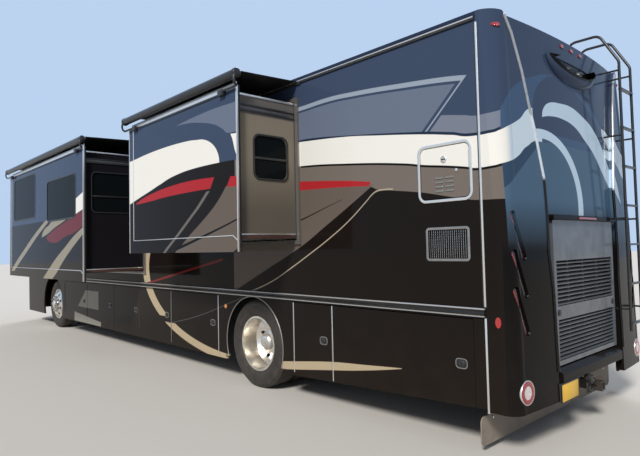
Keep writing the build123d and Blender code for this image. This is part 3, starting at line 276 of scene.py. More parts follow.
# Body paint: aluminium-skinned walls, moulded caps and skirt doors in base coat and clear coat. Slate
# blue over black, with a white swoosh, a red stripe, taupe and grey panels and tan pinlines that run on
# over the slide-outs and round onto the rear cap.
coach_paint = Finish("coach_paint", specular_ior_level=0.02, coat_weight=0.24, coat_roughness=0.02,
                     coat_ior=1.3)
BODY_SIDE = 1.283
SLIDE_WALL_Y = 1.31
REAR_FACE_Y = BODY_SIDE + 0.75
FRONT_FACE_Y = BODY_SIDE + 0.9
SLATE = (0.040, 0.061, 0.112)
DEEP_SLATE = (0.016, 0.026, 0.055)
GREY_BLUE = (0.124, 0.154, 0.222)
PALE_LINE = (0.270, 0.320, 0.400)
WHITE = (0.74, 0.74, 0.71)
GREY_TAUPE = (0.155, 0.135, 0.120)
TAUPE = (0.120, 0.098, 0.085)
RED = (0.36, 0.020, 0.026)
GLOSS_BLACK = (0.006, 0.0052, 0.005)
BROWN_BLACK = (0.0105, 0.0080, 0.0068)
TAN = (0.44, 0.36, 0.245)
SILVER = (0.27, 0.27, 0.24)

along = coach_paint.x
across = coach_paint.y
side = abs(across)
high = coach_paint.z
on_body = 1 - side.beyond(SLIDE_WALL_Y)
cap_side = 1 - along.beyond(-2.86, 0.01)
girth = along + (side - BODY_SIDE).least(0.0) * cap_side
behind = -girth


def over(colour, mask, paint):
    return coach_paint.mix(mask, colour, paint)


# Fields: slate above, brown-black below
white_top = behind.line([
    (-1.7, 2.61), (-1.457, 2.626), (-0.645, 2.665), (-0.095, 2.658), (0.183, 2.634), (0.85, 2.59),
    (1.45, 2.542), (1.873, 2.486), (2.388, 2.408), (2.628, 2.363), (2.848, 2.325), (2.94, 2.327), (3.03, 2.345),
    (3.12, 2.375), (3.30, 2.451), (3.47, 2.557), (3.68, 2.598), (4.4, 2.60),
])
white_foot = behind.line([
    (-1.7, 2.04), (-1.486, 2.101), (-1.204, 2.163), (-0.95, 2.213), (-0.69, 2.267), (-0.299, 2.334),
    (0.025, 2.356), (0.517, 2.357), (0.85, 2.345), (1.516, 2.286), (2.178, 2.201), (2.351, 2.167),
    (2.567, 2.135), (2.744, 2.104), (2.839, 2.085), (2.93, 2.087), (3.03, 2.100), (3.14, 2.122), (3.25, 2.165),
    (3.40, 2.255), (3.66, 2.322), (4.4, 2.33),
])
colour = over(BROWN_BLACK, high.beyond(white_foot), SLATE)

# Grey-taupe under the white, down to the red stripe in front and to the black behind
taupe_foot = behind.line([
    (0.5, 2.20), (0.85, 2.15), (1.79, 2.045), (1.856, 2.018), (2.017, 1.995), (2.315, 1.952), (2.558, 1.901),
    (2.71, 1.868), (2.83, 1.852), (3.1, 1.848), (3.7, 1.848),
])
colour = over(colour, high.within(taupe_foot, white_foot) * behind.within(0.80, 3.075), GREY_TAUPE)

# Taupe panel with its inner dark line, and the black diagonal behind it
panel_front = high.line([
    (1.50, -0.36), (1.544, -0.282), (1.606, -0.165), (1.689, -0.021), (1.769, 0.133), (1.866, 0.311),
    (1.973, 0.481), (2.099, 0.63), (2.2, 0.72),
])
panel_back = high.line([
    (1.05, -0.35), (1.30, 0.25), (1.556, 0.867), (1.725, 1.188), (1.892, 1.502), (2.032, 1.756), (2.10, 1.88),
])
stripe_top = behind.line([
    (-1.26, 2.108), (-1.10, 2.150), (-0.842, 2.188), (-0.474, 2.222), (-0.072, 2.238), (0.446, 2.226),
    (0.865, 2.191), (1.36, 2.146), (1.79, 2.092),
])
stripe_foot = behind.line([
    (-1.26, 2.088), (-0.922, 2.098), (-0.475, 2.119), (0.02, 2.125), (0.374, 2.122), (0.862, 2.102),
    (1.36, 2.083), (1.79, 2.055),
])
panel = behind.beyond(panel_front) * (1 - behind.beyond(panel_back))
panel = panel * high.beyond(1.05) * (1 - high.beyond(stripe_foot + 0.01))
colour = over(colour, panel, TAUPE)
inner = behind.line([(-0.6, 1.50), (-0.32, 1.546), (0.29, 1.676), (0.82, 1.800), (1.43, 1.965), (1.8, 2.05)])
thick = 0.017 - (behind + 0.34).most(0.0) * 0.0085
colour = over(colour, (1 - (abs(high - inner) - thick).beyond()) * behind.within(-0.34, 1.43), GLOSS_BLACK)

# Red stripe in two lengths
stripe = high.within(stripe_foot, stripe_top)
slant = behind - (high - 2.18) * 0.72
colour = over(colour, stripe * (slant.within(-1.24, 0.415) + slant.within(0.71, 1.85)), RED)

# Grey diagonal beside the dark gap
edge_line = high.line([
    (1.50, -0.60), (1.53, -0.557), (1.706, -0.262), (1.883, 0.02), (1.938, 0.11), (2.095, 0.325), (2.2, 0.47),
])
colour = over(colour, abs(behind - edge_line).within(-1, 0.032) * high.within(1.50, 2.10), (0.13, 0.122, 0.112))

# White swoosh with a rounded end on the rear slide-out, then the band that runs on to the cap
tip = ((behind - 0.10) / 0.44) ** 2 + ((high - 2.36) / 0.28) ** 2
rounded = (1 - behind.beyond(0.12)).most(1 - tip.beyond(1.0, 0.02))
swoosh = high.within(white_foot, white_top) * behind.beyond(-1.52) * rounded * (1 - behind.beyond(0.545))
start = high.line([(2.0, 0.86), (2.352, 0.84), (2.45, 0.80), (2.539, 0.77), (2.606, 0.735), (2.7, 0.70)])
on_cap = 1 - along.beyond(-2.99)
band = high.within(white_foot, white_top) * behind.beyond(start) * (1 - behind.beyond(3.665))
colour = over(colour, swoosh, WHITE)
colour = over(colour, band, WHITE)
# On the face that looks back the white band is painted pale blue: painted shade, tinted by the sky's light,
# over white paint.
colour = over(colour, band * behind.beyond(3.13, 0.06), (0.52, 0.63, 0.73))
colour = over(colour, abs(high - white_foot + 0.008).within(-1, 0.009) * band.most(behind.within(0.86, 3.6)),
              GLOSS_BLACK)

# Dark pinline on the white band's upper edge, and the grey-blue panels above it
upper_line = high.within(white_top, white_top + 0.022) * behind.beyond(0.76) * (1 - behind.beyond(3.665))
colour = over(colour, upper_line, DEEP_SLATE)
panel_foot = behind.line([
    (-0.288, 2.857), (0.0, 2.835), (0.157, 2.809), (0.444, 2.741), (0.605, 2.668), (0.708, 2.612),
    (0.95, 2.605), (1.55, 2.54), (2.388, 2.43),
])
panel_top = behind.line([
    (-0.288, 2.860), (0.159, 2.884), (0.448, 2.890), (0.83, 2.882), (1.27, 2.888), (1.57, 2.870), (2.2, 2.807),
    (2.62, 2.755), (2.8, 2.72),
])
back_edge = behind - (high - 2.431) * 1.03
upper_panel = high.within(panel_foot, panel_top) * behind.beyond(-0.28) * (1 - back_edge.beyond(2.335))
colour = over(colour, upper_panel, GREY_BLUE)
frame_top = high.within(panel_top + 0.022, panel_top + 0.062)
frame_top = frame_top * behind.beyond(0.2) * (1 - back_edge.beyond(2.392))
frame_back = back_edge.within(2.374, 2.392) * high.within(2.43, panel_top + 0.062)
colour = over(colour, frame_top.most(frame_back) * on_body, PALE_LINE)
after_top = behind.line([(2.40, 2.55), (2.53, 2.533), (2.734, 2.494), (2.85, 2.472), (3.10, 2.505)])
after = back_edge.beyond(2.425) * high.within(white_top + 0.022, after_top) * (1 - behind.beyond(3.10))
colour = over(colour, after, (0.165, 0.190, 0.250))

# Tan pinline that drops forward from behind the red stripe
pin = behind.line([
    (-0.04, 1.058), (0.35, 1.18), (0.656, 1.317), (0.929, 1.45), (1.224, 1.60), (1.498, 1.759), (1.735, 1.932),
    (1.80, 1.982), (1.856, 2.006), (1.95, 2.010), (2.033, 2.006),
])
colour = over(colour, abs(high - pin).within(-1, 0.006) * behind.within(-0.04, 2.03), (0.38, 0.33, 0.25))

# Broad tan arc round the bay doors, tapering to a tip behind the rear wheel
sweep = ((along - 0.30) / 2.37) ** 2 + ((high - 1.30) / 1.045) ** 2
rear_sweep = abs(high - behind.line([(-0.46, 0.244), (-0.10, 0.252), (0.628, 0.3405), (1.226, 0.420),
                                     (1.633, 0.4655), (2.07, 0.522)]))
ring = sweep.within(0.915, 1.085, 0.006) * along.beyond(0.45) * (1 - high.beyond(1.56))
clear = 1 - high.within(0.548, 0.625)
trail_half = behind.line([(-0.46, 0.034), (0.60, 0.040), (1.25, 0.038), (1.66, 0.024), (2.08, 0.002)])
trail = (1 - rear_sweep.beyond(trail_half)) * along.within(-2.07, 0.46)
colour = over(colour, (ring * clear).most(trail) * on_body, TAN)

# Thin grey line that carries the pinline on over the skirt, from the rub rail to the tan arc
skirt_pin = along.line([
    (0.20, 0.985), (0.266, 0.962), (0.54, 0.880), (0.78, 0.806), (1.21, 0.690), (1.60, 0.605), (1.984, 0.538),
])
skirt_line = abs(high - skirt_pin).within(-1, 0.004) * along.within(0.20, 1.98)
colour = over(colour, skirt_line * on_body, (0.085, 0.085, 0.090))

# Silver patches ahead of the bay doors, and a thin red line over the rub rail
patch = along.beyond(4.53) * high.within(0.535, 0.846) * (1 - (along + (high - 0.5) * 1.25).beyond(5.58))
low_patch = along.within(4.42, 5.72) * high.beyond(0.262) * (1 - (high - (along - 4.54) * 0.073).beyond(0.342))
colour = over(colour, (patch + low_patch) * on_body, SILVER)
red_line = abs(high - 1.302 + (along - 1.22) * 0.173).within(-1, 0.014) * along.within(0.6, 2.75)
colour = over(colour, red_line * on_body, (0.16, 0.02, 0.02))

# Front slide-out: two tan diagonals, the end of a white swoosh and a dark red wedge
on_front_slide = side.beyond(FRONT_FACE_Y - 0.045)
band_front = high.line([
    (1.20, 6.48), (1.222, 6.43), (1.415, 6.015), (1.588, 5.588), (1.802, 5.059), (2.05, 4.34),
])
band_back = high.line([
    (1.20, 6.26), (1.226, 6.199), (1.397, 5.797), (1.567, 5.384), (1.812, 4.779), (1.909, 4.512), (2.05, 4.10),
])
fore_band = along.beyond(band_back) * (1 - along.beyond(band_front)) * high.within(1.215, 2.045)
hook_top = along.line([
    (3.23, 2.044), (3.90, 2.044), (4.05, 2.010), (4.173, 1.965), (4.38, 1.915), (4.541, 1.79),
])
hook_foot = along.line([(3.23, 2.041), (3.549, 1.977), (3.904, 1.911), (4.283, 1.823), (4.541, 1.785)])
hook = high.within(hook_foot, hook_top) * along.within(3.23, 4.541)
aft_top = along.line([
    (2.66, 1.88), (2.71, 1.863), (3.034, 1.761), (3.404, 1.613), (3.80, 1.455), (4.225, 1.251), (4.508, 1.107),
    (4.60, 1.06),
])
aft_foot = along.line([
    (2.66, 1.785), (3.17, 1.563), (3.50, 1.399), (3.80, 1.226), (4.062, 1.103), (4.50, 0.90),
])
aft_band = high.within(aft_foot, aft_top) * (1 - along.beyond(4.56))
colour = over(colour, on_front_slide * fore_band.most(aft_band).most(hook), (0.27, 0.245, 0.19))
wedge_top = along.line([
    (2.66, 2.12), (2.708, 2.108), (2.989, 2.058), (3.403, 1.978), (3.904, 1.886), (4.283, 1.789),
])
wedge_foot = along.line([
    (2.66, 1.90), (2.709, 1.885), (3.034, 1.807), (3.404, 1.764), (3.852, 1.686), (4.10, 1.700), (4.283, 1.77),
])
colour = over(colour, on_front_slide * high.within(wedge_foot, wedge_top) * (1 - along.beyond(4.283)),
              (0.13, 0.018, 0.022))
patch_top = along.line([(2.66, 2.36), (2.707, 2.347), (2.99, 2.28)])
patch_foot = along.line([(2.66, 2.125), (2.708, 2.116), (2.99, 2.065)])
colour = over(colour, on_front_slide * high.within(patch_foot, patch_top) * (1 - along.beyond(2.99)), WHITE)

# Slide-out end walls: bronze-grey gloss between the body and the overlapping face. The rear room's wall is
# painted lighter to stand in for light on it in the sun's shade, with a painted reflection that is palest below
# the rails and darker towards the foot.
on_front_room = along.beyond(1.5)
end_wall = side.within(SLIDE_WALL_Y, REAR_FACE_Y - 0.042) * (1 - on_front_room)
front_end = side.within(SLIDE_WALL_Y, FRONT_FACE_Y - 0.042) * on_front_room
# Painted light: the bronze is lightened for a wall in shade, and a painted reflection darkens it towards the
# foot.
bronze_and_painted_light = coach_paint.mix(high.beyond(2.80, 0.02), (0.230, 0.200, 0.160), (0.13, 0.122, 0.120))
bronze_and_painted_light = coach_paint.mix(1 - high.beyond(2.15, 0.5), bronze_and_painted_light, (0.125, 0.112, 0.092))
colour = over(colour, end_wall, bronze_and_painted_light)
colour = over(colour, front_end, (0.012, 0.011, 0.014))
panel_edge = side.within(REAR_FACE_Y - 0.045, REAR_FACE_Y - 0.004) * (1 - on_front_room)
panel_edge = panel_edge + side.within(FRONT_FACE_Y - 0.045, FRONT_FACE_Y - 0.004) * on_front_room
colour = over(colour, panel_edge, (0.030, 0.028, 0.030))

# Aluminium flange round each slide-out's opening
flange = side.within(1.2875, 1.3105) * (1 - on_cap)
colour = over(colour, flange, (0.30, 0.29, 0.275))

# Rear cap, on the face that looks back: paler arcs of painted sky reflection over the slate paint, and two pale
# crescents over slate
reflection_arc = across.line([
    (-1.2, 2.2), (-0.6, 2.62), (0.0, 2.86), (0.442, 2.897), (0.73, 2.829), (0.938, 2.755), (1.13, 2.627),
    (1.217, 2.514), (1.28, 2.44),
])
reflection_inner_arc = across.line([
    (-1.2, 2.1), (-0.5, 2.6), (0.1, 2.86), (0.412, 2.892), (0.599, 2.809), (0.68, 2.74), (0.725, 2.66),
    (0.75, 2.58),
])
sky_reflection_upper = high.beyond(2.33) * on_cap
# Paler slate under the arc on the upper cap, away from the white band: a painted sky reflection on the same
# slate paint as the sides.
rear_colour = over(colour, sky_reflection_upper * (1 - high.beyond(reflection_arc)) * (1 - band), (0.050, 0.090, 0.170))
rear_colour = over(rear_colour,
                   on_cap * high.beyond(2.40) * (1 - across.beyond(0.752)) * (1 - high.beyond(reflection_inner_arc)),
                   SLATE)
sky_reflection_lower = on_cap * (1 - side.beyond(1.235)) * high.beyond(1.66, 0.40) * (1 - high.beyond(white_foot))
# Paler slate over the lower face, away from the white band: a painted sky reflection, which gives way to dark
# slate near the outer corner.
rear_colour = over(rear_colour, sky_reflection_lower * (1 - band), (0.062, 0.115, 0.185))
rear_colour = over(rear_colour,
                   sky_reflection_lower * across.beyond(0.70) * (high - (across - 0.87) * -0.75).beyond(2.20),
                   (0.03, 0.06, 0.11))
crescent_top = across.line([
    (-0.95, 1.9), (-0.7, 2.30), (-0.376, 2.562), (-0.135, 2.641), (0.084, 2.686), (0.288, 2.684),
    (0.477, 2.661), (0.571, 2.61), (0.61, 2.53),
])
crescent_foot = across.line([
    (-0.95, 1.88), (-0.6, 2.13), (-0.35, 2.33), (-0.174, 2.422), (0.04, 2.521), (0.276, 2.557), (0.493, 2.549),
    (0.61, 2.525),
])
pale = (0.46, 0.60, 0.74)
rear_colour = over(rear_colour, on_cap * high.within(crescent_foot, crescent_top) * across.within(-0.94, 0.61),
                   pale)
bow_out = ((across - 0.62) / 0.645) ** 2 + ((high - 1.85) / 0.575) ** 2
bow_in = ((across - 0.62) / 0.545) ** 2 + ((high - 1.85) / 0.500) ** 2
bow = (1 - bow_out.beyond(1.0, 0.01)) * bow_in.beyond(1.0, 0.01)
bow = bow * (1 - across.beyond(0.735)) * high.beyond(1.72)
rear_colour = over(rear_colour, on_cap * bow, pale)
foot_black = on_cap * (1 - high.beyond(1.50, 0.10))
rear_colour = over(rear_colour, foot_black, GLOSS_BLACK)
pod = (across / 0.48) ** 2 + ((high - 3.075) / 0.140) ** 2
ledge = high.within(1.700, 1.752) * (1 - side.beyond(0.66))
rear_colour = over(rear_colour, on_cap * ((1 - pod.beyond(1.0, 0.03)) * (1 - high.beyond(3.07))).most(ledge),
                   GLOSS_BLACK)
colour = rear_colour

# Clear coat: faint orange peel, and road film that dulls the foot of the body
peel = coach_paint.noise(60, 2)
film = coach_paint.noise(5, 6)
dusty = (1 - high.beyond(0.75, 0.9)) * film
coach_paint.set(
    base_color=coach_paint.mix(dusty * 0.10, colour, (0.12, 0.095, 0.07)),
    roughness=dusty * 0.15 + 0.14,
    metallic=flange * 0.7,
)
coach_paint.relief(peel, 0.00025, 0.5)
dress("left_wall right_wall rear_wall left_skirt right_skirt front_cap rear_cap entry_door service_hatch",
      coach_paint)
dress("rear_slide front_slide mirrors", coach_paint)
dress(" ".join(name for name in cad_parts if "_door_" in name and name[-1].isdigit()), coach_paint)


# Roof: one moulded white sheet, chalky with age, crowned so that rain runs off and bonded to the walls. The
# air conditioners under cream plastic shrouds, the vents and the patio awning's case are screwed down on it.
roof_sheet = Finish("roof_sheet", specular_ior_level=0.15)
streak = roof_sheet.noise(2.2, 7, stretch=(0.3, 2, 1))
edge = abs(roof_sheet.y).beyond(1.245, 0.01)
roof_colour = roof_sheet.mix(streak, (0.70, 0.69, 0.66), (0.52, 0.51, 0.47))
roof_sheet.set(base_color=roof_sheet.mix(edge, roof_colour, DEEP_SLATE), roughness=streak * 0.4 + 0.3)
roof_sheet.relief(streak, 0.002)
dress("roof", roof_sheet)

shroud = Finish("shroud", roughness=0.55)
shroud.mottled(5, 5, (0.74, 0.66, 0.50), (0.60, 0.53, 0.40)).grained(220, 0.0006)
dress("roof_units", shroud)

patio_case = Finish("patio_case", roughness=0.4, coat_weight=0.3)
patio_case.mottled(8, 5, (0.05, 0.05, 0.055), (0.09, 0.09, 0.092))
patio_case.relief((patio_case.z * 400).sine(), 0.0006)
dress("patio_awning", patio_case)


# Glass: dark tinted safety glass, bonded nearly flush into the walls, caps and doors, so that only a thin
# rubber edge shows round it.
tinted_glass = Finish("tinted_glass", alpha=0.95, specular_ior_level=0.03)
film_spots = tinted_glass.noise(12, 6)
tinted_glass.set(base_color=(0.006, 0.008, 0.009), roughness=film_spots.within(0.5, 0.8, 0.2) * 0.03 + 0.015)
dress("glass rear_slide_glass front_slide_glass entry_door_glass", tinted_glass)


# Wheels: forged aluminium rims, turned and polished, with brake dust burnt into the hand holes. They are
# bolted to the hubs, front ones dished in and rear ones dished out.
polished = Finish("polished", metallic=1.0)
swirl = polished.noise(90, 4)
brake_dust = polished.noise(7, 5)
# Polished aluminium colour, tinted warm as a painted reflection of the sunlit ground.
polished.set(
    base_color=polished.mix(brake_dust.within(0.55, 1.0, 0.3), (0.90, 0.86, 0.79), (0.55, 0.50, 0.43)),
    roughness=swirl * 0.12 + 0.27,
)
polished.relief(swirl, 0.0001)
dress("front_left_wheel front_right_wheel rear_left_wheels rear_right_wheels", polished)


# Ladder and rub rails: bent aluminium tube powder-coated black and bolted to the rear cap, and a ribbed
# aluminium rail, screwed along the foot of each wall, with a painted highlight line along each of its two
# edges.
powder_black = Finish("powder_black", roughness=0.32, metallic=0.2)
powder_black.mottled(6, 5, (0.012, 0.013, 0.016), (0.035, 0.036, 0.04)).grained(250, 0.0003)
dress("ladder", powder_black)

rail_metal = Finish("rail_metal", metallic=0.6, roughness=0.25)
# Painted highlight lines along the rail's two edges.
highlight_low = rail_metal.z.within(1.004, 1.013, 0.002)
highlight_high = rail_metal.z.within(1.056, 1.067, 0.002)
rail_base = rail_metal.mix(rail_metal.noise(9, 5), (0.018, 0.017, 0.017), (0.05, 0.046, 0.042))
rail_metal.set(base_color=rail_metal.mix(highlight_low + highlight_high, rail_base, (0.50, 0.49, 0.47)))
rail_metal.relief((rail_metal.z * (math.pi * 2 / 0.035)).sine(), 0.004)
dress("rub_rails", rail_metal)


# Engine door: a welded steel frame with pressed louvre blades, painted slate and sooted by the exhaust. The
# mud guard under it is a reinforced rubber sheet, grey with dried mud.
louvre_paint = Finish("louvre_paint", roughness=0.35, coat_weight=0.4, coat_roughness=0.15)
soot = louvre_paint.noise(8, 7)
louvre_paint.set(base_color=louvre_paint.mix(soot, (0.105, 0.125, 0.155), (0.06, 0.06, 0.062)),
                 roughness=soot * 0.4 + 0.2)
louvre_paint.grained(200, 0.0003)
dress("engine_door", louvre_paint)

guard_rubber = Finish("guard_rubber", roughness=0.9)
mud = guard_rubber.noise(7, 8)
guard_rubber.set(base_color=guard_rubber.mix(mud, (0.16, 0.145, 0.13), (0.34, 0.29, 0.24)))
guard_rubber.relief(mud, 0.002)
dress("mud_guard", guard_rubber)


# Lamps: moulded acrylic lenses over their bowls, ribbed inside, red at the rear and clear in front. The tail
# lamps are bright bars in three slanted slits of black housing.
lens = Finish("lens", roughness=0.12, coat_weight=1.0, coat_roughness=0.03)
ribs = (lens.z * (math.pi * 2 / 0.006)).sine() * (lens.y * (math.pi * 2 / 0.006)).sine()
radius = (((abs(lens.y) - 1.135) ** 2 + (lens.z - 0.477) ** 2)).math("SQRT")
backup = 1 - radius.beyond(0.048)
front = lens.x.beyond(4.0)
red = lens.mix(ribs.beyond(0.0, 1.5), (0.30, 0.008, 0.010), (0.46, 0.014, 0.016))
lean = abs(lens.y) - lens.z * 0.372
line = lean.within(0.542, 0.560) * lens.z.beyond(1.40)
line = line.most(lean.within(0.648, 0.666) * lens.z.within(1.14, 1.47))
line = line.most(lean.within(0.752, 0.772) * lens.z.within(0.87, 1.21))
slit = abs(lens.y).within(1.045, 1.215) * lens.z.within(0.85, 1.79) * (1 - lens.x.beyond(0.0))
red = lens.mix(slit * (1 - line), red, (0.006, 0.005, 0.005))
lens.set(base_color=lens.mix(backup.most(front), red, (0.80, 0.80, 0.80)))
lens.relief(ribs, 0.001)
dress("lamps", lens)


# Cab: two seats in tan grained vinyl on pedestals, and a black moulded dash under the windscreen.
# Both are bolted to the floor and show only through the tinted glass.
cab_trim = Finish("cab_trim", roughness=0.6)
hide = cab_trim.node("ShaderNodeTexVoronoi", {"feature": "DISTANCE_TO_EDGE"}, cab_trim.place, Scale=260)
dash_side = cab_trim.x.beyond(8.25)
tone = cab_trim.mix(cab_trim.noise(5, 5), (0.30, 0.24, 0.18), (0.40, 0.33, 0.26))
cab_trim.set(base_color=cab_trim.mix(dash_side, tone, (0.03, 0.03, 0.032)))
cab_trim.relief(hide, 0.0015)
dress("cab_fittings", cab_trim)


# Wheels and tyres: 22.5 in road tyres with moulded ribs and grooves, on forged rims held by ten flanged
# nuts. The front hubs wear a bright cap over the bearing, and each tyre has a rim-guard ring.

def begin(kind, **settings):
    """A primitive to work on, alone in the selection."""
    bpy.ops.object.select_all(action="DESELECT")
    getattr(bpy.ops.mesh, f"primitive_{kind}_add")(**settings)
    return bpy.context.object


def settle(piece, name, finish, body, smooth=35):
    """Applies a piece's modifiers and place, and gives it its name, finish and body."""
    for modifier in list(piece.modifiers):
        bpy.ops.object.modifier_apply(modifier=modifier.name)
    bpy.ops.object.transform_apply(location=True, rotation=True, scale=True)
    piece.name = name
    piece.data.materials.clear()
    piece.data.materials.append(finish.material)
    bpy.ops.object.shade_smooth_by_angle(angle=math.radians(smooth))
    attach(piece, body)
    return piece


def spun(name, profile, centre, out, finish, body, steps=64, smooth=35):
    """Turns a profile of (radius, height) points round the line that runs out from a coach position."""
    mesh = bpy.data.meshes.new(name)
    edges = [(i, i + 1) for i in range(len(profile) - 1)]
    mesh.from_pydata([(radius, 0, height) for radius, height in profile], edges, [])
    piece = bpy.data.objects.new(name, mesh)
    bpy.context.collection.objects.link(piece)
    bpy.ops.object.select_all(action="DESELECT")
    piece.select_set(True)
    bpy.context.view_layer.objects.active = piece
    bpy.ops.object.mode_set(mode="EDIT")
    bpy.ops.mesh.select_all(action="SELECT")
    bpy.ops.mesh.spin(steps=steps, angle=math.tau, center=(0, 0, 0), axis=(0, 0, 1))
    bpy.ops.mesh.select_all(action="SELECT")
    bpy.ops.mesh.remove_doubles(threshold=0.0001)
    bpy.ops.mesh.normals_make_consistent(inside=False)
    bpy.ops.object.mode_set(mode="OBJECT")
    piece.rotation_euler = Vector(out).to_track_quat("Z", "Y").to_euler()
    piece.location = (OX + centre[0], OY + centre[1], centre[2])
    return settle(piece, name, finish, body, smooth)


def copied(piece, name, move, body):
    """A copy with a mesh of its own, moved by a matrix in coach metres."""
    twin = piece.copy()
    twin.data = piece.data.copy()
    bpy.context.collection.objects.link(twin)
    coach = Matrix.Translation((OX, OY, 0))
    twin.data.transform(coach @ move @ coach.inverted())
    if move.determinant() < 0:
        twin.data.flip_normals()
    twin.name = name
    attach(twin, body)
    return twin


RIGHT_SIDE = Matrix.Scale(-1, 4, (0, 1, 0))
AXLE_Z = 0.48
FRONT_AXLE_X = 7.01
FRONT_TYRE_Y = 1.060
TWIN_Y = (1.112, 0.796)
tread = [(0.460, -0.122), (0.470, -0.112), (0.4785, -0.100)]
for groove in (-0.066, -0.022, 0.022, 0.066):
    tread += [(0.4795, groove - 0.007), (0.466, groove - 0.004), (0.466, groove + 0.004),
              (0.4795, groove + 0.007)]
tread += [(0.4785, 0.100), (0.470, 0.112), (0.460, 0.122)]
wall_out = [(0.440, 0.1335), (0.425, 0.1350), (0.422, 0.1335), (0.398, 0.1365), (0.380, 0.1370),
            (0.372, 0.1350), (0.350, 0.1325), (0.335, 0.1285), (0.331, 0.1215), (0.318, 0.1165),
            (0.306, 0.1060), (0.2905, 0.1005)]
wall_in = [(radius, -height) for radius, height in reversed(wall_out)]
tyre_profile = [*wall_in, *tread, *wall_out, (0.2885, 0.096), (0.2885, -0.096), wall_in[0]]

black_rubber = Finish("black_rubber", roughness=0.8)
turn_x = black_rubber.x - black_rubber.x.beyond(3.0, 0.01) * FRONT_AXLE_X
turned = black_rubber.node("ShaderNodeMath", {"operation": "ARCTAN2"}, black_rubber.z - AXLE_Z, turn_x)
radius = (turn_x ** 2 + (black_rubber.z - AXLE_Z) ** 2).math("SQRT")
blocks = (turned * 90).sine().beyond(0.75, 0.3) * radius.beyond(0.452, 0.004)
ribs = (radius * 900).sine() * radius.within(0.345, 0.42, 0.01)
scuff = black_rubber.noise(16, 7)
chalk = scuff.within(0.5, 0.95, 0.3) * 0.35 * (1 - radius.beyond(0.462, 0.02))
chalk = chalk + radius.beyond(0.47, 0.01) * 0.35
black_rubber.set(
    base_color=black_rubber.mix(chalk, (0.026, 0.022, 0.019), (0.095, 0.078, 0.062)),
    roughness=scuff * 0.25 + 0.6,
)
black_rubber.relief(ribs * 0.25 - blocks, 0.004)
for x, centres, body, node in (
    (FRONT_AXLE_X, (FRONT_TYRE_Y,), "front_left_roll", "front_left_tyre"),
    (0, TWIN_Y, "rear_left_roll", "rear_left_tyres"),
):
    for number, centre_y in enumerate(centres):
        tyre = spun(f"{node}_tread_{number}", tyre_profile, (x, centre_y, AXLE_Z), (0, 1, 0), black_rubber,
                    body, 96, 28)
        other = copied(tyre, tyre.name.replace("left", "right"), RIGHT_SIDE, body.replace("left", "right"))
        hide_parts(node)
        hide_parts(node.replace("left", "right"))

polished_nut = Finish("polished_nut", metallic=1.0, roughness=0.22)
polished_nut.mottled(60, 3, (0.62, 0.61, 0.60), (0.36, 0.34, 0.32))
NUT_RING = 0.143
NUTS = 10
for x, face_y, reach, body in (
    (0, 0.966, 0.030, "rear_left_roll"),
    (FRONT_AXLE_X, 1.218, 0.042, "front_left_roll"),
):
    nut = begin("cylinder", vertices=6, radius=0.0185, depth=reach, rotation=(math.pi / 2, 0, 0),
                location=(OX + x + NUT_RING, OY + face_y + reach / 2, AXLE_Z))
    bpy.ops.object.modifier_add(type="BEVEL")
    nut.modifiers["Bevel"].width = 0.003
    bpy.ops.object.modifier_apply(modifier="Bevel")
    begin("cylinder", vertices=20, radius=0.025, depth=0.007, rotation=(math.pi / 2, 0, 0),
          location=(OX + x + NUT_RING, OY + face_y + 0.0035, AXLE_Z))
    nut.select_set(True)
    bpy.ops.object.join()
    bpy.ops.object.mode_set(mode="EDIT")
    bpy.ops.mesh.select_all(action="SELECT")
    around = [math.tau * number / NUTS for number in range(NUTS)]
    for before, after in zip(around, around[1:]):
        bpy.ops.mesh.duplicate()
        bpy.ops.transform.translate(value=(NUT_RING * (math.cos(after) - math.cos(before)), 0,
                                           NUT_RING * (math.sin(after) - math.sin(before))))
    bpy.ops.object.mode_set(mode="OBJECT")
    ring = settle(bpy.context.object, body + "_nuts", polished_nut, body)
    copied(ring, ring.name.replace("left", "right"), RIGHT_SIDE, body.replace("left", "right"))

profile = [(0, 0.03), (0.004, 0.03), (0.0045, 0), (0.008, 0), (0.008, -0.02)]
valve = spun("rear_left_valve", profile, (0.195, 0.985, AXLE_Z + 0.06), (-0.3, 1, 0), polished_nut,
             "rear_left_roll", 12)
copied(valve, "rear_right_valve", RIGHT_SIDE, "rear_right_roll")


# Body mouldings: anodised strips over the joints between the walls and the moulded caps, bright edges on the
# rear cap's creases, an awning rail and drip channel along both roof edges.

def bar(name, x, y, z, finish, body="coach", edge=0.0015):
    """A straight bar with eased edges between coach positions."""
    piece = begin("cube", size=1)
    piece.scale = (abs(x[1] - x[0]), abs(y[1] - y[0]), abs(z[1] - z[0]))
    piece.location = (OX + (x[0] + x[1]) / 2, OY + (y[0] + y[1]) / 2, (z[0] + z[1]) / 2)
    bpy.ops.object.transform_apply(location=False, rotation=False, scale=True)
    bpy.ops.object.modifier_add(type="BEVEL")
    piece.modifiers["Bevel"].width = edge
    piece.modifiers["Bevel"].segments = 2
    return settle(piece, name, finish, body)


def rod(name, points, radius, finish, body="coach"):
    """A bent rod through coach positions."""
    mesh = bpy.data.meshes.new(name)
    edges = [(i, i + 1) for i in range(len(points) - 1)]
    mesh.from_pydata([(OX + x, OY + y, z) for x, y, z in points], edges, [])
    piece = bpy.data.objects.new(name, mesh)
    bpy.context.collection.objects.link(piece)
    bpy.ops.object.select_all(action="DESELECT")
    piece.select_set(True)
    bpy.context.view_layer.objects.active = piece
    bpy.ops.object.convert(target="CURVE")
    bpy.context.object.data.bevel_depth = radius
    bpy.context.object.data.bevel_resolution = 3
    bpy.context.object.data.use_fill_caps = True
    bpy.ops.object.convert(target="MESH")
    return settle(bpy.context.object, name, finish, body, 50)


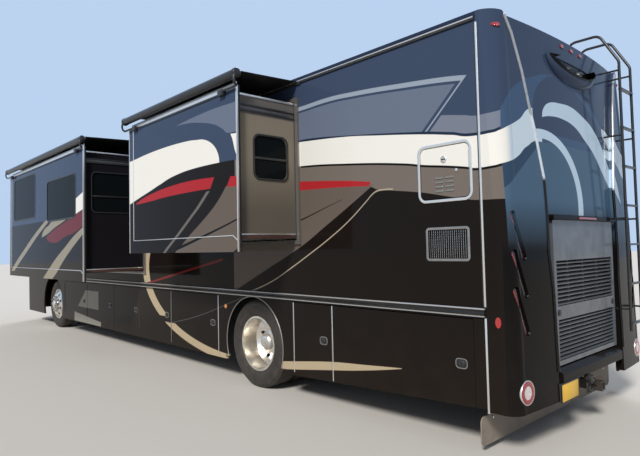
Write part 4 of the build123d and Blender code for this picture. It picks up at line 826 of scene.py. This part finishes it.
def circle(radius, steps, first=0, last=None):
    """Places (across, up) at steps round a circle, the whole way round unless first and last say less."""
    angles = [step * math.tau / steps for step in range(first, (steps if last is None else last) + 1)]
    return [(radius * math.cos(angle), radius * math.sin(angle)) for angle in angles]


def both_sides(piece):
    """The same piece on the coach's right side."""
    name = piece.name.replace("left", "right") if "left" in piece.name else piece.name + "_right"
    return copied(piece, name, RIGHT_SIDE, "coach")


def rear_face(y, z):
    """Where a line from behind meets the rear cap."""
    _, place, normal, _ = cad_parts["rear_cap"].ray_cast(Vector((OX - 6, OY + y, z)), Vector((1, 0, 0)))
    return Vector((place.x - OX, place.y - OY, place.z)), normal


anodised = Finish("anodised", metallic=0.8).mottled(7, 4, (0.80, 0.79, 0.77), (0.70, 0.69, 0.66))
brushed = anodised.noise(140, 3, stretch=(0.15, 1, 0.15))
anodised.set(roughness=brushed * 0.10 + 0.30)
anodised.relief(brushed, 0.0002)
black_trim = Finish("black_trim", roughness=0.4)
black_trim.mottled(10, 5, (0.010, 0.010, 0.011), (0.030, 0.029, 0.028)).grained(300, 0.0003)

both_sides(bar("joint_strip_left", (-2.860, -2.844), (1.280, 1.288), (1.075, 3.165), anodised, edge=0.002))
both_sides(bar("joint_strip_left_low", (-2.860, -2.844), (1.280, 1.288), (0.32, 0.995), anodised, edge=0.002))
both_sides(bar("joint_seal_left", (-2.844, -2.834), (1.280, 1.285), (1.075, 3.165), black_trim, edge=0.001))
both_sides(bar("drip_channel_left", (-2.84, 8.46), (1.281, 1.297), (3.182, 3.214), black_trim, edge=0.003))
both_sides(rod("awning_rail_left", [(-2.84, 1.297, 3.205), (8.46, 1.297, 3.205)], 0.0055, anodised))
crease_trim = Finish("crease_trim", metallic=0.6, roughness=0.3)
trim_low = crease_trim.mix(crease_trim.z.beyond(2.02, 0.03), (0.014, 0.013, 0.013), (0.72, 0.76, 0.80))
trim_high = crease_trim.mix(crease_trim.z.beyond(2.50, 0.03), trim_low, (0.42, 0.43, 0.44))
crease_trim.set(base_color=crease_trim.mix(crease_trim.noise(30, 4).beyond(0.62, 0.2) * 0.3, trim_high,
                                           (0.05, 0.05, 0.05)))
crease_trim.relief(crease_trim.noise(120, 3), 0.0002)
crease = [(0.684, 0.55), (0.684, 0.90), (0.684, 1.172), (0.719, 1.445), (0.718, 1.815), (0.723, 2.021),
          (0.773, 2.225), (0.813, 2.401), (0.865, 2.573), (0.929, 2.825), (1.032, 3.107), (1.120, 3.225)]
line = [rear_face(y + 0.004, z)[0] for y, z in crease]
strip = rod("crease_strip_left", line, 0.0135, crease_trim)
both_sides(strip)


# Slide-out trims: bright corner posts and a pinstripe moulding round each face, a rail over its top, rails,
# seals and a framed window on the wall that faces back, and a black rail on the body over the opening.

def hoop(name, centre, size, corner, width, depth, finish, body="coach", facing="side"):
    """A flat frame with rounded corners, in the plane of a side wall or of a wall that faces back."""
    piece = begin("plane", size=1)
    piece.scale = (size[0], size[1], 1)
    bpy.ops.object.transform_apply(location=False, rotation=False, scale=True)
    bpy.ops.object.mode_set(mode="EDIT")
    bpy.ops.mesh.select_all(action="SELECT")
    bpy.ops.mesh.bevel(offset=corner, segments=8, affect="VERTICES")
    bpy.ops.mesh.select_all(action="SELECT")
    bpy.ops.mesh.inset(thickness=width, depth=0)
    bpy.ops.mesh.delete(type="ONLY_FACE")
    bpy.ops.object.mode_set(mode="OBJECT")
    bpy.ops.object.modifier_add(type="SOLIDIFY")
    piece.modifiers["Solidify"].thickness = depth
    piece.modifiers["Solidify"].offset = 0
    bpy.ops.object.modifier_add(type="BEVEL")
    piece.modifiers["Bevel"].width = min(width, depth) * 0.3
    piece.modifiers["Bevel"].segments = 2
    piece.rotation_euler = (math.pi / 2, 0, math.pi / 2 if facing == "back" else 0)
    piece.location = (OX + centre[0], OY + centre[1], centre[2])
    return settle(piece, name, finish, body)


red_seal = Finish("red_seal", roughness=0.5).mottled(20, 5, (0.055, 0.022, 0.018), (0.11, 0.05, 0.04))
red_seal.relief((red_seal.z * (math.pi * 2 / 0.012)).sine(), 0.002)
slides = (
    ("rear_slide", -0.79, 1.44, 1.62, 2.99, REAR_FACE_Y, (-0.79, 1.608, 2.405), (0.404, 0.424), 2.394),
    ("front_slide", 2.71, 6.47, 1.245, 2.94, FRONT_FACE_Y, (2.71, 1.763, 2.365), (0.574, 0.564), 2.312),
)
for room, x0, x1, z0, z1, face, window, pane, rail_z in slides:
    body = room + "_room"
    foot, top = z0 - 0.115, z1 + 0.05
    bar(room + "_post_aft", (x0 - 0.053, x0 - 0.043), (face - 0.018, face + 0.004), (foot + 0.002, top),
        anodised, body)
    bar(room + "_post_fore", (x1 + 0.038, x1 + 0.052), (face - 0.040, face + 0.004), (foot + 0.002, top),
        anodised, body)
    bar(room + "_top_rail", (x0 - 0.04, x1 + 0.04), (face - 0.002, face + 0.004), (top - 0.030, top - 0.002),
        anodised, body)
    bar(room + "_deflector", (x0 - 0.02, x1 + 0.02), (face - 0.030, face - 0.022), (top - 0.001, top + 0.038),
        anodised, body)
    line = [(x1 - 0.07, face + 0.001, top - 0.03), (x1 - 0.07, face + 0.001, z0 + 0.035),
            (x0 + 0.03, face + 0.001, z0 + 0.035), (x0 - 0.045, face + 0.001, z0 - 0.010)]
    rod(room + "_pinstripe", line, 0.0055, anodised, body)
    bar(room + "_end_top", (x0 - 0.008, x0 + 0.002), (1.315, face - 0.045), (z1 - 0.022, z1 - 0.004), anodised,
        body)
    for number, low in enumerate((z1 - 0.118, z1 - 0.170)):
        bar(f"{room}_end_rail_{number}", (x0 - 0.010, x0 + 0.002), (1.315, face - 0.045), (low, low + 0.018),
            black_trim, body)
    bar(room + "_end_rail_seal", (x0 - 0.005, x0 + 0.002), (1.315, face - 0.045), (z1 - 0.151, z1 - 0.119),
        patio_case, body)
    bar(room + "_end_sill", (x0 - 0.008, x0 + 0.002), (1.315, face - 0.045), (z0 + 0.040, z0 + 0.052), anodised,
        body)
    bar(room + "_end_sill_seal", (x0 - 0.006, x0 + 0.002), (1.315, face - 0.045), (z0 + 0.006, z0 + 0.036),
        red_seal, body)
    hoop(room + "_end_window_frame", (x0 - 0.003, window[1], window[2]), (pane[0] + 0.02, pane[1] + 0.02),
         0.075, 0.018, 0.014, black_trim, body, facing="back")
    bar(room + "_end_window_rail", (x0 - 0.006, x0 + 0.003), (window[1] - pane[0] / 2, window[1] + pane[0] / 2),
        (rail_z - 0.011, rail_z + 0.011), black_trim, body)
    bar(room + "_wall_rail", (x0 - 0.09, x1 + 0.09), (1.2835, 1.3), (z1 + 0.180, z1 + 0.200), black_trim,
        edge=0.003)
for number, (low_x, high_x, low_z, high_z) in enumerate(((2.96, 4.26, 2.03, 2.65), (4.92, 6.22, 2.13, 2.87))):
    centre = ((low_x + high_x) / 2, 2.1835, (low_z + high_z) / 2)
    hoop(f"front_slide_window_frame_{number}", centre, (high_x - low_x + 0.03, high_z - low_z + 0.03), 0.085,
         0.022, 0.008, black_trim, "front_slide_room")
centre = (7.98, 1.2835, 2.20)
hoop("driver_window_frame", centre, (0.87, 0.87), 0.085, 0.022, 0.008, black_trim)
for number, (low_x, high_x, low_z, high_z) in enumerate(((-2.15, -1.25, 1.9, 2.6), (0.9, 2.0, 2.0, 2.7),
                                                         (3.2, 4.6, 2.0, 2.7), (5.2, 6.6, 2.0, 2.7))):
    centre = ((low_x + high_x) / 2, -1.2835, (low_z + high_z) / 2)
    hoop(f"right_window_frame_{number}", centre, (high_x - low_x + 0.03, high_z - low_z + 0.03), 0.085, 0.022,
         0.008, black_trim)
    bar(f"right_window_rail_{number}", (low_x, high_x), (-1.286, -1.278), (low_z + 0.22, low_z + 0.242),
        black_trim)


# Service hatch and vent on the left wall: a framed panel with a twist latch, a key lock and pressed louvres,
# and a pressed grille over the battery compartment's vent.

aged_metal = Finish("aged_metal", metallic=0.8, roughness=0.4)
aged_metal.mottled(12, 5, (0.42, 0.40, 0.37), (0.22, 0.21, 0.20)).grained(200, 0.0003)


def repeated(piece, moves, body="coach"):
    """Copies of a piece whose name ends in 0, at every move from it after the first."""
    for number, move in enumerate(moves[1:], 1):
        copied(piece, f"{piece.name[:-1]}{number}", Matrix.Translation(move), body)


hoop("hatch_frame", (-2.54, 1.2845, 2.0875), (0.492, 0.457), 0.070, 0.022, 0.010, anodised)
profile = [(0.026, 0.001), (0.026, 0.007), (0.022, 0.009), (0.018, 0.004), (0, 0.004)]
spun("hatch_latch_ring", profile, (-2.54, 1.283, 2.188), (0, 1, 0), anodised, "hatch", steps=32)
bar("hatch_latch_grip", (-2.558, -2.522), (1.284, 1.294), (2.184, 2.192), black_trim, "hatch")
profile = [(0.011, 0.001), (0.011, 0.005), (0.008, 0.006), (0, 0.006)]
spun("hatch_key_lock", profile, (-2.65, 1.283, 2.095), (0, 1, 0), anodised, "hatch", steps=24)
louvre = begin("cylinder", vertices=24, radius=0.009, depth=0.078, rotation=(0, math.pi / 2, 0))
louvre.scale = (1, 0.8, 1)
louvre.location = (OX - 2.585, OY + BODY_SIDE, 1.944)
bpy.ops.object.modifier_add(type="BEVEL")
louvre.modifiers["Bevel"].width = 0.007
louvre.modifiers["Bevel"].segments = 3
settle(louvre, "hatch_louvre_0_0", coach_paint, "hatch")
for column in (louvre, copied(louvre, "hatch_louvre_1_0", Matrix.Translation((0.092, 0, 0)), "hatch")):
    repeated(column, [(0, 0, row * 0.034) for row in range(4)], "hatch")
hoop("vent_frame", (-2.55, 1.2845, 1.535), (0.392, 0.262), 0.030, 0.020, 0.008, aged_metal)
vent_bar = bar("vent_bar_0", (-2.728, -2.372), (1.2725, 1.2815), (1.4259, 1.4291), black_trim, edge=0.0006)
repeated(vent_bar, [(0, 0, row * 0.0196) for row in range(12)])
vent_rib = bar("vent_rib_0", (-2.7224, -2.7196), (1.270, 1.2725), (1.422, 1.648), anodised, edge=0.0005)
repeated(vent_rib, [(column * 0.019, 0, 0) for column in range(19)])


# Rear wheel arches: a painted lip ring is bonded inside each opening, close round the tyres, and a thin
# metal trim is pressed over its edge.
ARCH_LIP = 0.522
ARCH_FOOT = 0.285
profile = [(ARCH_LIP, -0.012), (ARCH_LIP, 0.010), (0.5895, 0.010), (0.5895, -0.012), (ARCH_LIP, -0.012)]
lip = spun("arch_lip_left", profile, (0, 1.2725, AXLE_Z), (0, 1, 0), coach_paint, "coach", 128)
bpy.ops.object.mode_set(mode="EDIT")
bpy.ops.mesh.select_all(action="SELECT")
bpy.ops.mesh.bisect(plane_co=(0, 0, ARCH_FOOT), plane_no=(0, 0, 1), use_fill=True, clear_inner=True)
bpy.ops.object.mode_set(mode="OBJECT")
both_sides(lip)
arch = [(x, 1.2835, AXLE_Z + z) for x, z in circle(ARCH_LIP, 120, -10, 70)]
both_sides(rod("arch_trim_left", [point for point in arch if point[2] > ARCH_FOOT], 0.0065, aged_metal))


# Skirt doors' latches: a chromed D-shaped bezel round a black paddle on each, near the door's free edge.
# A small amber side marker stands ahead of the rear wheel.
paddle = hoop("left_door_1_latch_bezel", (-2.64, 1.2845, 0.645), (0.104, 0.078), 0.030, 0.008, 0.008,
              aged_metal, "left_door_1")
well = bar("left_door_1_latch_well", (-2.686, -2.594), (1.2815, 1.2838), (0.612, 0.678), black_trim,
           "left_door_1", edge=0.001)
profile = [(0.026, -0.002), (0.026, 0.007), (0.020, 0.011), (0.007, 0.011), (0.006, 0.008), (0, 0.008)]
grip = spun("left_door_1_latch_grip", profile, (-2.644, 1.2825, 0.645), (0, 1, 0), black_trim, "left_door_1",
            steps=32)
lever = bar("left_door_1_latch_lever", (-2.640, -2.600), (1.286, 1.294), (0.637, 0.653), black_trim,
            "left_door_1", edge=0.003)
others = (("left_door_2", -1.14), ("left_door_3", 0.83), ("left_door_4", 2.02), ("left_door_5", 3.02),
          ("left_door_6", 4.02), ("left_door_7", 5.21))
for part in (paddle, well, grip, lever):
    for door, x in others:
        copied(part, part.name.replace("left_door_1", door), Matrix.Translation((x + 2.64, 0, 0)), door)
    for door, x in (("right_door_1", -2.64), ("right_door_2", 0.83), ("right_door_3", 2.02),
                    ("right_door_4", 4.02)):
        copied(part, part.name.replace("left_door_1", door), Matrix.Translation((x + 2.64, 0, 0)) @ RIGHT_SIDE,
               door)

strip = bar("left_door_1_edge_strip", (-1.265, -1.253), (1.2815, 1.2855), (0.285, 0.980), anodised,
            "left_door_1", edge=0.001)
for door, x in (("left_door_2", -0.699), ("left_door_3", 0.709)):
    copied(strip, door + "_edge_strip", Matrix.Translation((x + 1.259, 0, 0)), door)
bar("left_door_4_edge_strip", (1.893, 1.905), (1.2815, 1.2855), (0.285, 0.980), aged_metal, "left_door_4",
    edge=0.001)

amber = Finish("amber", roughness=0.15, coat_weight=1.0).mottled(30, 3, (0.75, 0.22, 0.02), (0.85, 0.34, 0.05))
profile = [(0.026, 0), (0.024, 0.008), (0.014, 0.012), (0, 0.013)]
marker = spun("side_marker_left", profile, (0.54, 1.282, 0.862), (0, 1, 0), amber, "coach", 32)
both_sides(marker)
marker_edge = [(0.54 + x, 1.2835, 0.862 + z) for x, z in circle(0.027, 24)]
both_sides(rod("side_marker_left_ring", marker_edge, 0.003, black_trim))


# Rear: two cameras in the pod, chrome tips on the tail lamps, bezels on the backup lamps, a blank plate on
# its bracket, and what hangs under the beam: a trailer socket and two chain loops on the receiver.
camera_black = Finish("camera_black", roughness=0.3)
camera_black.mottled(40, 3, (0.012, 0.012, 0.012), (0.04, 0.04, 0.04)).grained(400, 0.0002)
lens_glass = Finish("lens_glass", roughness=0.05, coat_weight=1.0)
lens_glass.mottled(90, 2, (0.01, 0.012, 0.03), (0.03, 0.03, 0.06))
places = [rear_face(y, 3.0)[0] - Vector((0.012, 0, 0)) for y in (-0.125, 0.105)]
apart = [(0, 0, 0), places[1] - places[0]]
profile = [(0.034, -0.02), (0.034, 0.012), (0.028, 0.022), (0.021, 0.024), (0.018, 0.016), (0, 0.016)]
case = spun("rear_camera_0", profile, places[0], (-1, 0, -0.5), camera_black, "coach", 32)
repeated(case, apart)
profile = [(0.017, 0.0), (0.014, 0.006), (0.007, 0.009), (0, 0.010)]
front_lens = spun("rear_camera_lens_0", profile, places[0] + Vector((-0.013, 0, -0.0065)), (-1, 0, -0.5),
                  lens_glass, "coach", 24)
repeated(front_lens, apart)

ends = [rear_face(y, z)[0] for y, z in ((1.066, 1.415), (1.068, 1.144), (1.078, 0.878))]
profile = [(0.0, 0.012), (0.006, 0.010), (0.012, 0.003), (0.0135, -0.006), (0.013, -0.03)]
tip = spun("tail_lamp_tip_left_0", profile, ends[0] + Vector((0.004, 0, 0)), (-1, 0, -0.2), anodised, "coach",
           24)
for number, end in enumerate(ends):
    if number:
        tip_here = copied(tip, f"tail_lamp_tip_left_{number}", Matrix.Translation(end - ends[0]), "coach")
    both_sides(tip_here if number else tip)
place, facing = rear_face(1.135, 0.477)
profile = [(0.087, -0.02), (0.087, 0.006), (0.085, 0.010), (0.080, 0.010), (0.078, 0.006)]
bezel = spun("backup_lamp_left_bezel", profile, place - facing * 0.004, facing, anodised, "coach",
             64)
both_sides(bezel)
red_lens = Finish("red_lens", roughness=0.12, coat_weight=1.0)
red_lens.mottled(200, 2, (0.26, 0.008, 0.010), (0.34, 0.015, 0.016))
profile = [(0.078, -0.01), (0.077, 0.008), (0.066, 0.011), (0.053, 0.011), (0.052, 0.004)]
both_sides(spun("backup_lamp_left_ring", profile, place, facing, red_lens, "coach", 64))

plate_paint = Finish("plate_paint", roughness=0.35).mottled(18, 4, (0.82, 0.46, 0.02), (0.86, 0.54, 0.06))
bar("plate_bracket", (-3.108, -3.100), (0.370, 0.680), (0.315, 0.460), black_trim)
bar("plate_blank", (-3.1105, -3.108), (0.374, 0.676), (0.318, 0.452), plate_paint,
    edge=0.0008)
hoop("plate_frame", (-3.110, 0.525, 0.385), (0.318, 0.150), 0.018, 0.010, 0.008, black_trim,
     facing="back")
profile = [(0.0, 0.03), (0.022, 0.03), (0.024, 0.036), (0.036, 0.036), (0.038, 0.0), (0.03, -0.03)]
spun("trailer_socket", profile, (-3.10, 0.14, 0.412), (-1, 0, -0.25), camera_black, "coach", 32)
bar("chain_plate", (-3.09, -3.08), (-0.15, 0.15), (0.285, 0.375), chassis_steel)
ring = [(-3.10, y - 0.11, 0.315 + z) for y, z in circle(0.026, 20)]
repeated(rod("chain_loop_0", ring, 0.006, chassis_steel), [(0, 0, 0), (0, 0.22, 0)])
bolt = begin("cylinder", vertices=6, radius=0.011, depth=0.008, rotation=(0, math.pi / 2, 0))
bolt.location = (OX - 2.764, OY - 1.08, 0.235)
bpy.ops.object.modifier_add(type="BEVEL")
bolt.modifiers["Bevel"].width = 0.002
settle(bolt, "guard_bolt_0", anodised, "coach")
repeated(bolt, [(0, number * 0.36, 0) for number in range(7)])
profile = [(0.024, 0), (0.024, 0.006), (0.018, 0.009), (0.006, 0.009), (0.004, 0.005), (0, 0.005)]
lock = spun("engine_door_lock_0", profile, (-3.065, -0.56, 0.98), (-1, 0, 0), black_trim, "engine_hood",
            32)
repeated(lock, [(0, 0, 0), (0, 1.12, 0)], "engine_hood")


# Front and right side: wiper arms on the windscreen, mirror glass, the entry door's handle and grab rail, and
# end caps on the patio awning's roller.

def front_face(node, y, z):
    """Where a line from ahead meets a node."""
    _, place, _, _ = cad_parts[node].ray_cast(Vector((OX + 12, OY + y, z)), Vector((-1, 0, 0)))
    return Vector((place.x - OX, place.y - OY, place.z))


for number, (root_y, tip_y) in enumerate(((0.95, 0.15), (-0.15, -0.95))):
    root = front_face("front_cap", root_y, 1.30)
    tip = front_face("glass", tip_y, 1.75)
    elbow = root.lerp(tip, 0.5) + Vector((0.045, 0, 0))
    arm = [(root.x + 0.001, *root.yz), (elbow.x, *elbow.yz), (tip.x + 0.015, *tip.yz)]
    rod(f"wiper_arm_{number}", arm, 0.008, black_trim)
mirror_glass = Finish("mirror_glass", metallic=1.0, roughness=0.04)
mirror_glass.mottled(30, 3, (0.72, 0.74, 0.76), (0.66, 0.68, 0.70))
both_sides(bar("mirror_glass_left", (8.836, 8.842), (1.375, 1.541), (2.10, 2.63), mirror_glass, edge=0.002))
rod("grab_rail", [(7.66, -1.283, 1.25), (7.66, -1.34, 1.28), (7.66, -1.34, 2.02), (7.66, -1.283, 2.05)], 0.014,
    anodised)
bar("entry_handle_plate", (7.79, 7.87), (-1.290, -1.282), (1.52, 1.66), black_trim, "entry")
rod("entry_handle", [(7.80, -1.288, 1.64), (7.80, -1.315, 1.63), (7.86, -1.315, 1.63), (7.86, -1.288, 1.64)],
    0.006, anodised, "entry")


def turned_round(middle):
    """Mirrors a piece from front to back about a place along the coach."""
    return Matrix.Translation((2 * middle, 0, 0)) @ Matrix.Scale(-1, 4, (1, 0, 0))


profile = [(0.0, 0.012), (0.03, 0.012), (0.034, 0.004), (0.070, 0.004), (0.072, -0.03)]
cap = spun("patio_awning_cap_0", profile, (2.1, -1.351, 3.075), (-1, 0, 0), black_trim, "coach",
           48)
copied(cap, "patio_awning_cap_1", turned_round(4.45), "coach")


# Air intakes: five slots moulded into each side of every air conditioner's shroud, with dark mesh behind
# them. They are modelled as one slot and copied.
slot = bar("shroud_slot_0_0_l", (-1.27, -0.73), (-0.347, -0.333), (3.385, 3.395), black_trim)
for number, x in enumerate((-1.0, 2.3, 5.8)):
    for row in range(5):
        move = Matrix.Translation((x + 1.0, 0, row * 0.026))
        if number or row:
            copied(slot, f"shroud_slot_{number}_{row}_l", move, "coach")
        copied(slot, f"shroud_slot_{number}_{row}_r", move @ RIGHT_SIDE, "coach")


# Slide-out awnings: black woven vinyl toppers, each pulled tight from a rail on the wall over the slide-out's
# top to a spring roller on its face. The cloth rolls up as the room goes in.
awning_cloth = Finish("awning_cloth", roughness=0.62, base_color=(0.014, 0.014, 0.016))
thread_across = (awning_cloth.x * (math.pi * 2 / 0.0016)).sine()
thread_along = (awning_cloth.y * (math.pi * 2 / 0.0016)).sine()
dust = awning_cloth.noise(3.5, 6)
seam = abs((awning_cloth.x / 0.78).math("FRACT") - 0.5).beyond(0.487, 0.004)
cloth_colour = awning_cloth.mix(dust.within(0.55, 0.9, 0.25), (0.012, 0.012, 0.014), (0.034, 0.032, 0.03))
awning_cloth.set(base_color=awning_cloth.mix(seam, cloth_colour, (0.006, 0.006, 0.007)))
awning_cloth.relief(thread_across * thread_along * 0.3 + seam * 1.5, 0.0004)

for room, x0, x1, top, face in (("rear_slide", -0.84, 1.49, 3.040, REAR_FACE_Y),
                                ("front_slide", 2.66, 6.52, 2.990, FRONT_FACE_Y)):
    body = room + "_room"
    axis_y, axis_z = face + 0.030, top + 0.087
    middle, half = (x0 + x1) / 2, (x1 - x0) / 2 + 0.072
    profile = [(0, -half), (0.030, -half), (0.040, -half + 0.005), (0.046, -half + 0.014),
               (0.046, -half + 0.040), (0.042, -half + 0.042), (0.042, half - 0.042), (0.046, half - 0.040),
               (0.046, half - 0.014), (0.040, half - 0.005), (0.030, half), (0, half)]
    tube = spun(room + "_roller_tube", profile, (middle, axis_y, axis_z), (1, 0, 0), powder_black, body,
                40)
    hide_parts(room + "_roller")
    low = top - 0.028
    x = x0 - 0.06
    arm = rod(f"{room}_arm_0", [(x, axis_y + 0.012, axis_z), (x, axis_y + 0.032, axis_z - 0.030),
                                (x, axis_y + 0.036, low + 0.050), (x, axis_y + 0.024, low + 0.012),
                                (x + 0.006, axis_y + 0.004, low), (x + 0.030, axis_y, low),
                                (x + 0.27, axis_y, low)], 0.012, powder_black, body)
    shoe = bar(f"{room}_arm_foot_0", (x + 0.225, x + 0.315), (face + 0.002, axis_y + 0.014),
               (low - 0.040, low + 0.016), powder_black, body, 0.006)
    for piece in (arm, shoe):
        other = copied(piece, piece.name[:-1] + "1", turned_round(middle), body)
        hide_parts(room + "_roller")
        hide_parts(room + "_roller")
    bar(room + "_face_line", (x0 + 0.30, x1 - 0.30), (face + 0.002, face + 0.009), (top - 0.052, top - 0.040),
        black_trim, body, edge=0.003)
    cloth_low, cloth_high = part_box(room + "_awning")
    length, reach = cloth_high.x - cloth_low.x, cloth_high.y - cloth_low.y
    rise = cloth_high.z - 0.002 - (axis_z + 0.042 + 0.0025)
    bpy.ops.object.select_all(action="DESELECT")
    bpy.ops.mesh.primitive_grid_add(
        x_subdivisions=64, y_subdivisions=28, size=1,
        location=((cloth_low.x + cloth_high.x) / 2, (cloth_low.y + cloth_high.y) / 2, cloth_high.z),
    )
    cloth = bpy.context.object
    cloth.name = room + "_awning_cloth"
    cloth.scale = (length, reach, 1)
    bpy.ops.object.transform_apply(location=True, rotation=True, scale=True)
    # Wind and age leave the middle a little slack between the tight edges.
    for vertex in cloth.data.vertices:
        share = (vertex.co.y - cloth_low.y) / reach
        along = (vertex.co.x - cloth_low.x) / length
        slack = math.sin(math.pi * share) * (0.6 + 0.4 * math.sin(9 * along + 2 * share))
        vertex.co.z -= 0.002 + share * rise + 0.010 * slack * max(math.sin(math.pi * along), 0) ** 0.4
    bpy.ops.object.modifier_add(type="SOLIDIFY")
    cloth.modifiers["Solidify"].thickness = 0.0012
    bpy.ops.object.modifier_apply(modifier="Solidify")
    cloth.data.materials.append(awning_cloth.material)
    bpy.ops.object.shade_smooth_by_angle(angle=math.radians(40))
    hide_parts(room + "_awning")
    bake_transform(cloth)


# Light: a soft high sun from behind the camera's left with a weaker one across it, an even pale sky that
# metal and glass show too, and a plain pale floor that takes the shadow.
world = bpy.data.worlds.new("pale_sky")
bpy.context.scene.world = world
world.use_nodes = True
sky = world.node_tree
background = sky.nodes["Background"]
background.inputs["Color"].default_value = (0.70, 0.78, 0.90, 1)
background.inputs["Strength"].default_value = 0.40
plain = sky.nodes.new("ShaderNodeBackground")
plain.inputs["Color"].default_value = (0.50, 0.65, 0.87, 1)
plain.inputs["Strength"].default_value = 1.0
ray = sky.nodes.new("ShaderNodeLightPath")
choose = sky.nodes.new("ShaderNodeMixShader")
seen = ray.outputs["Is Camera Ray"]
for kind in ("Is Glossy Ray", "Is Transmission Ray"):
    either = sky.nodes.new("ShaderNodeMath")
    either.operation = "MAXIMUM"
    sky.links.new(seen, either.inputs[0])
    sky.links.new(ray.outputs[kind], either.inputs[1])
    seen = either.outputs[0]
sky.links.new(seen, choose.inputs[0])
sky.links.new(background.outputs[0], choose.inputs[1])
sky.links.new(plain.outputs[0], choose.inputs[2])
sky.links.new(choose.outputs[0], sky.nodes["World Output"].inputs[0])

bpy.ops.object.select_all(action="DESELECT")
bpy.ops.object.light_add(type="SUN", location=(0, 0, 12))
sun = bpy.context.object
sun.data.energy = 3.3
sun.data.angle = math.radians(12)
sun.data.color = (1.0, 0.95, 0.88)
sun.rotation_euler = Vector((0.35, -0.72, -0.62)).to_track_quat("-Z", "Y").to_euler()

bpy.ops.object.light_add(type="SUN", location=(4, -4, 12))
fill = bpy.context.object
fill.data.energy = 1.3
fill.data.angle = math.radians(30)
fill.rotation_euler = Vector((-0.6, 0.7, -0.45)).to_track_quat("-Z", "Y").to_euler()
bpy.ops.mesh.primitive_plane_add(size=160, location=(0, 0, 0))
floor = bpy.context.object
floor.name = "studio_floor"
floor_paint = bpy.data.materials.new("studio_floor")
floor_paint.use_nodes = True
floor_paint.node_tree.nodes["Principled BSDF"].inputs["Base Color"].default_value = (0.62, 0.60, 0.57, 1)
floor_paint.node_tree.nodes["Principled BSDF"].inputs["Roughness"].default_value = 0.9
floor.data.materials.append(floor_paint)
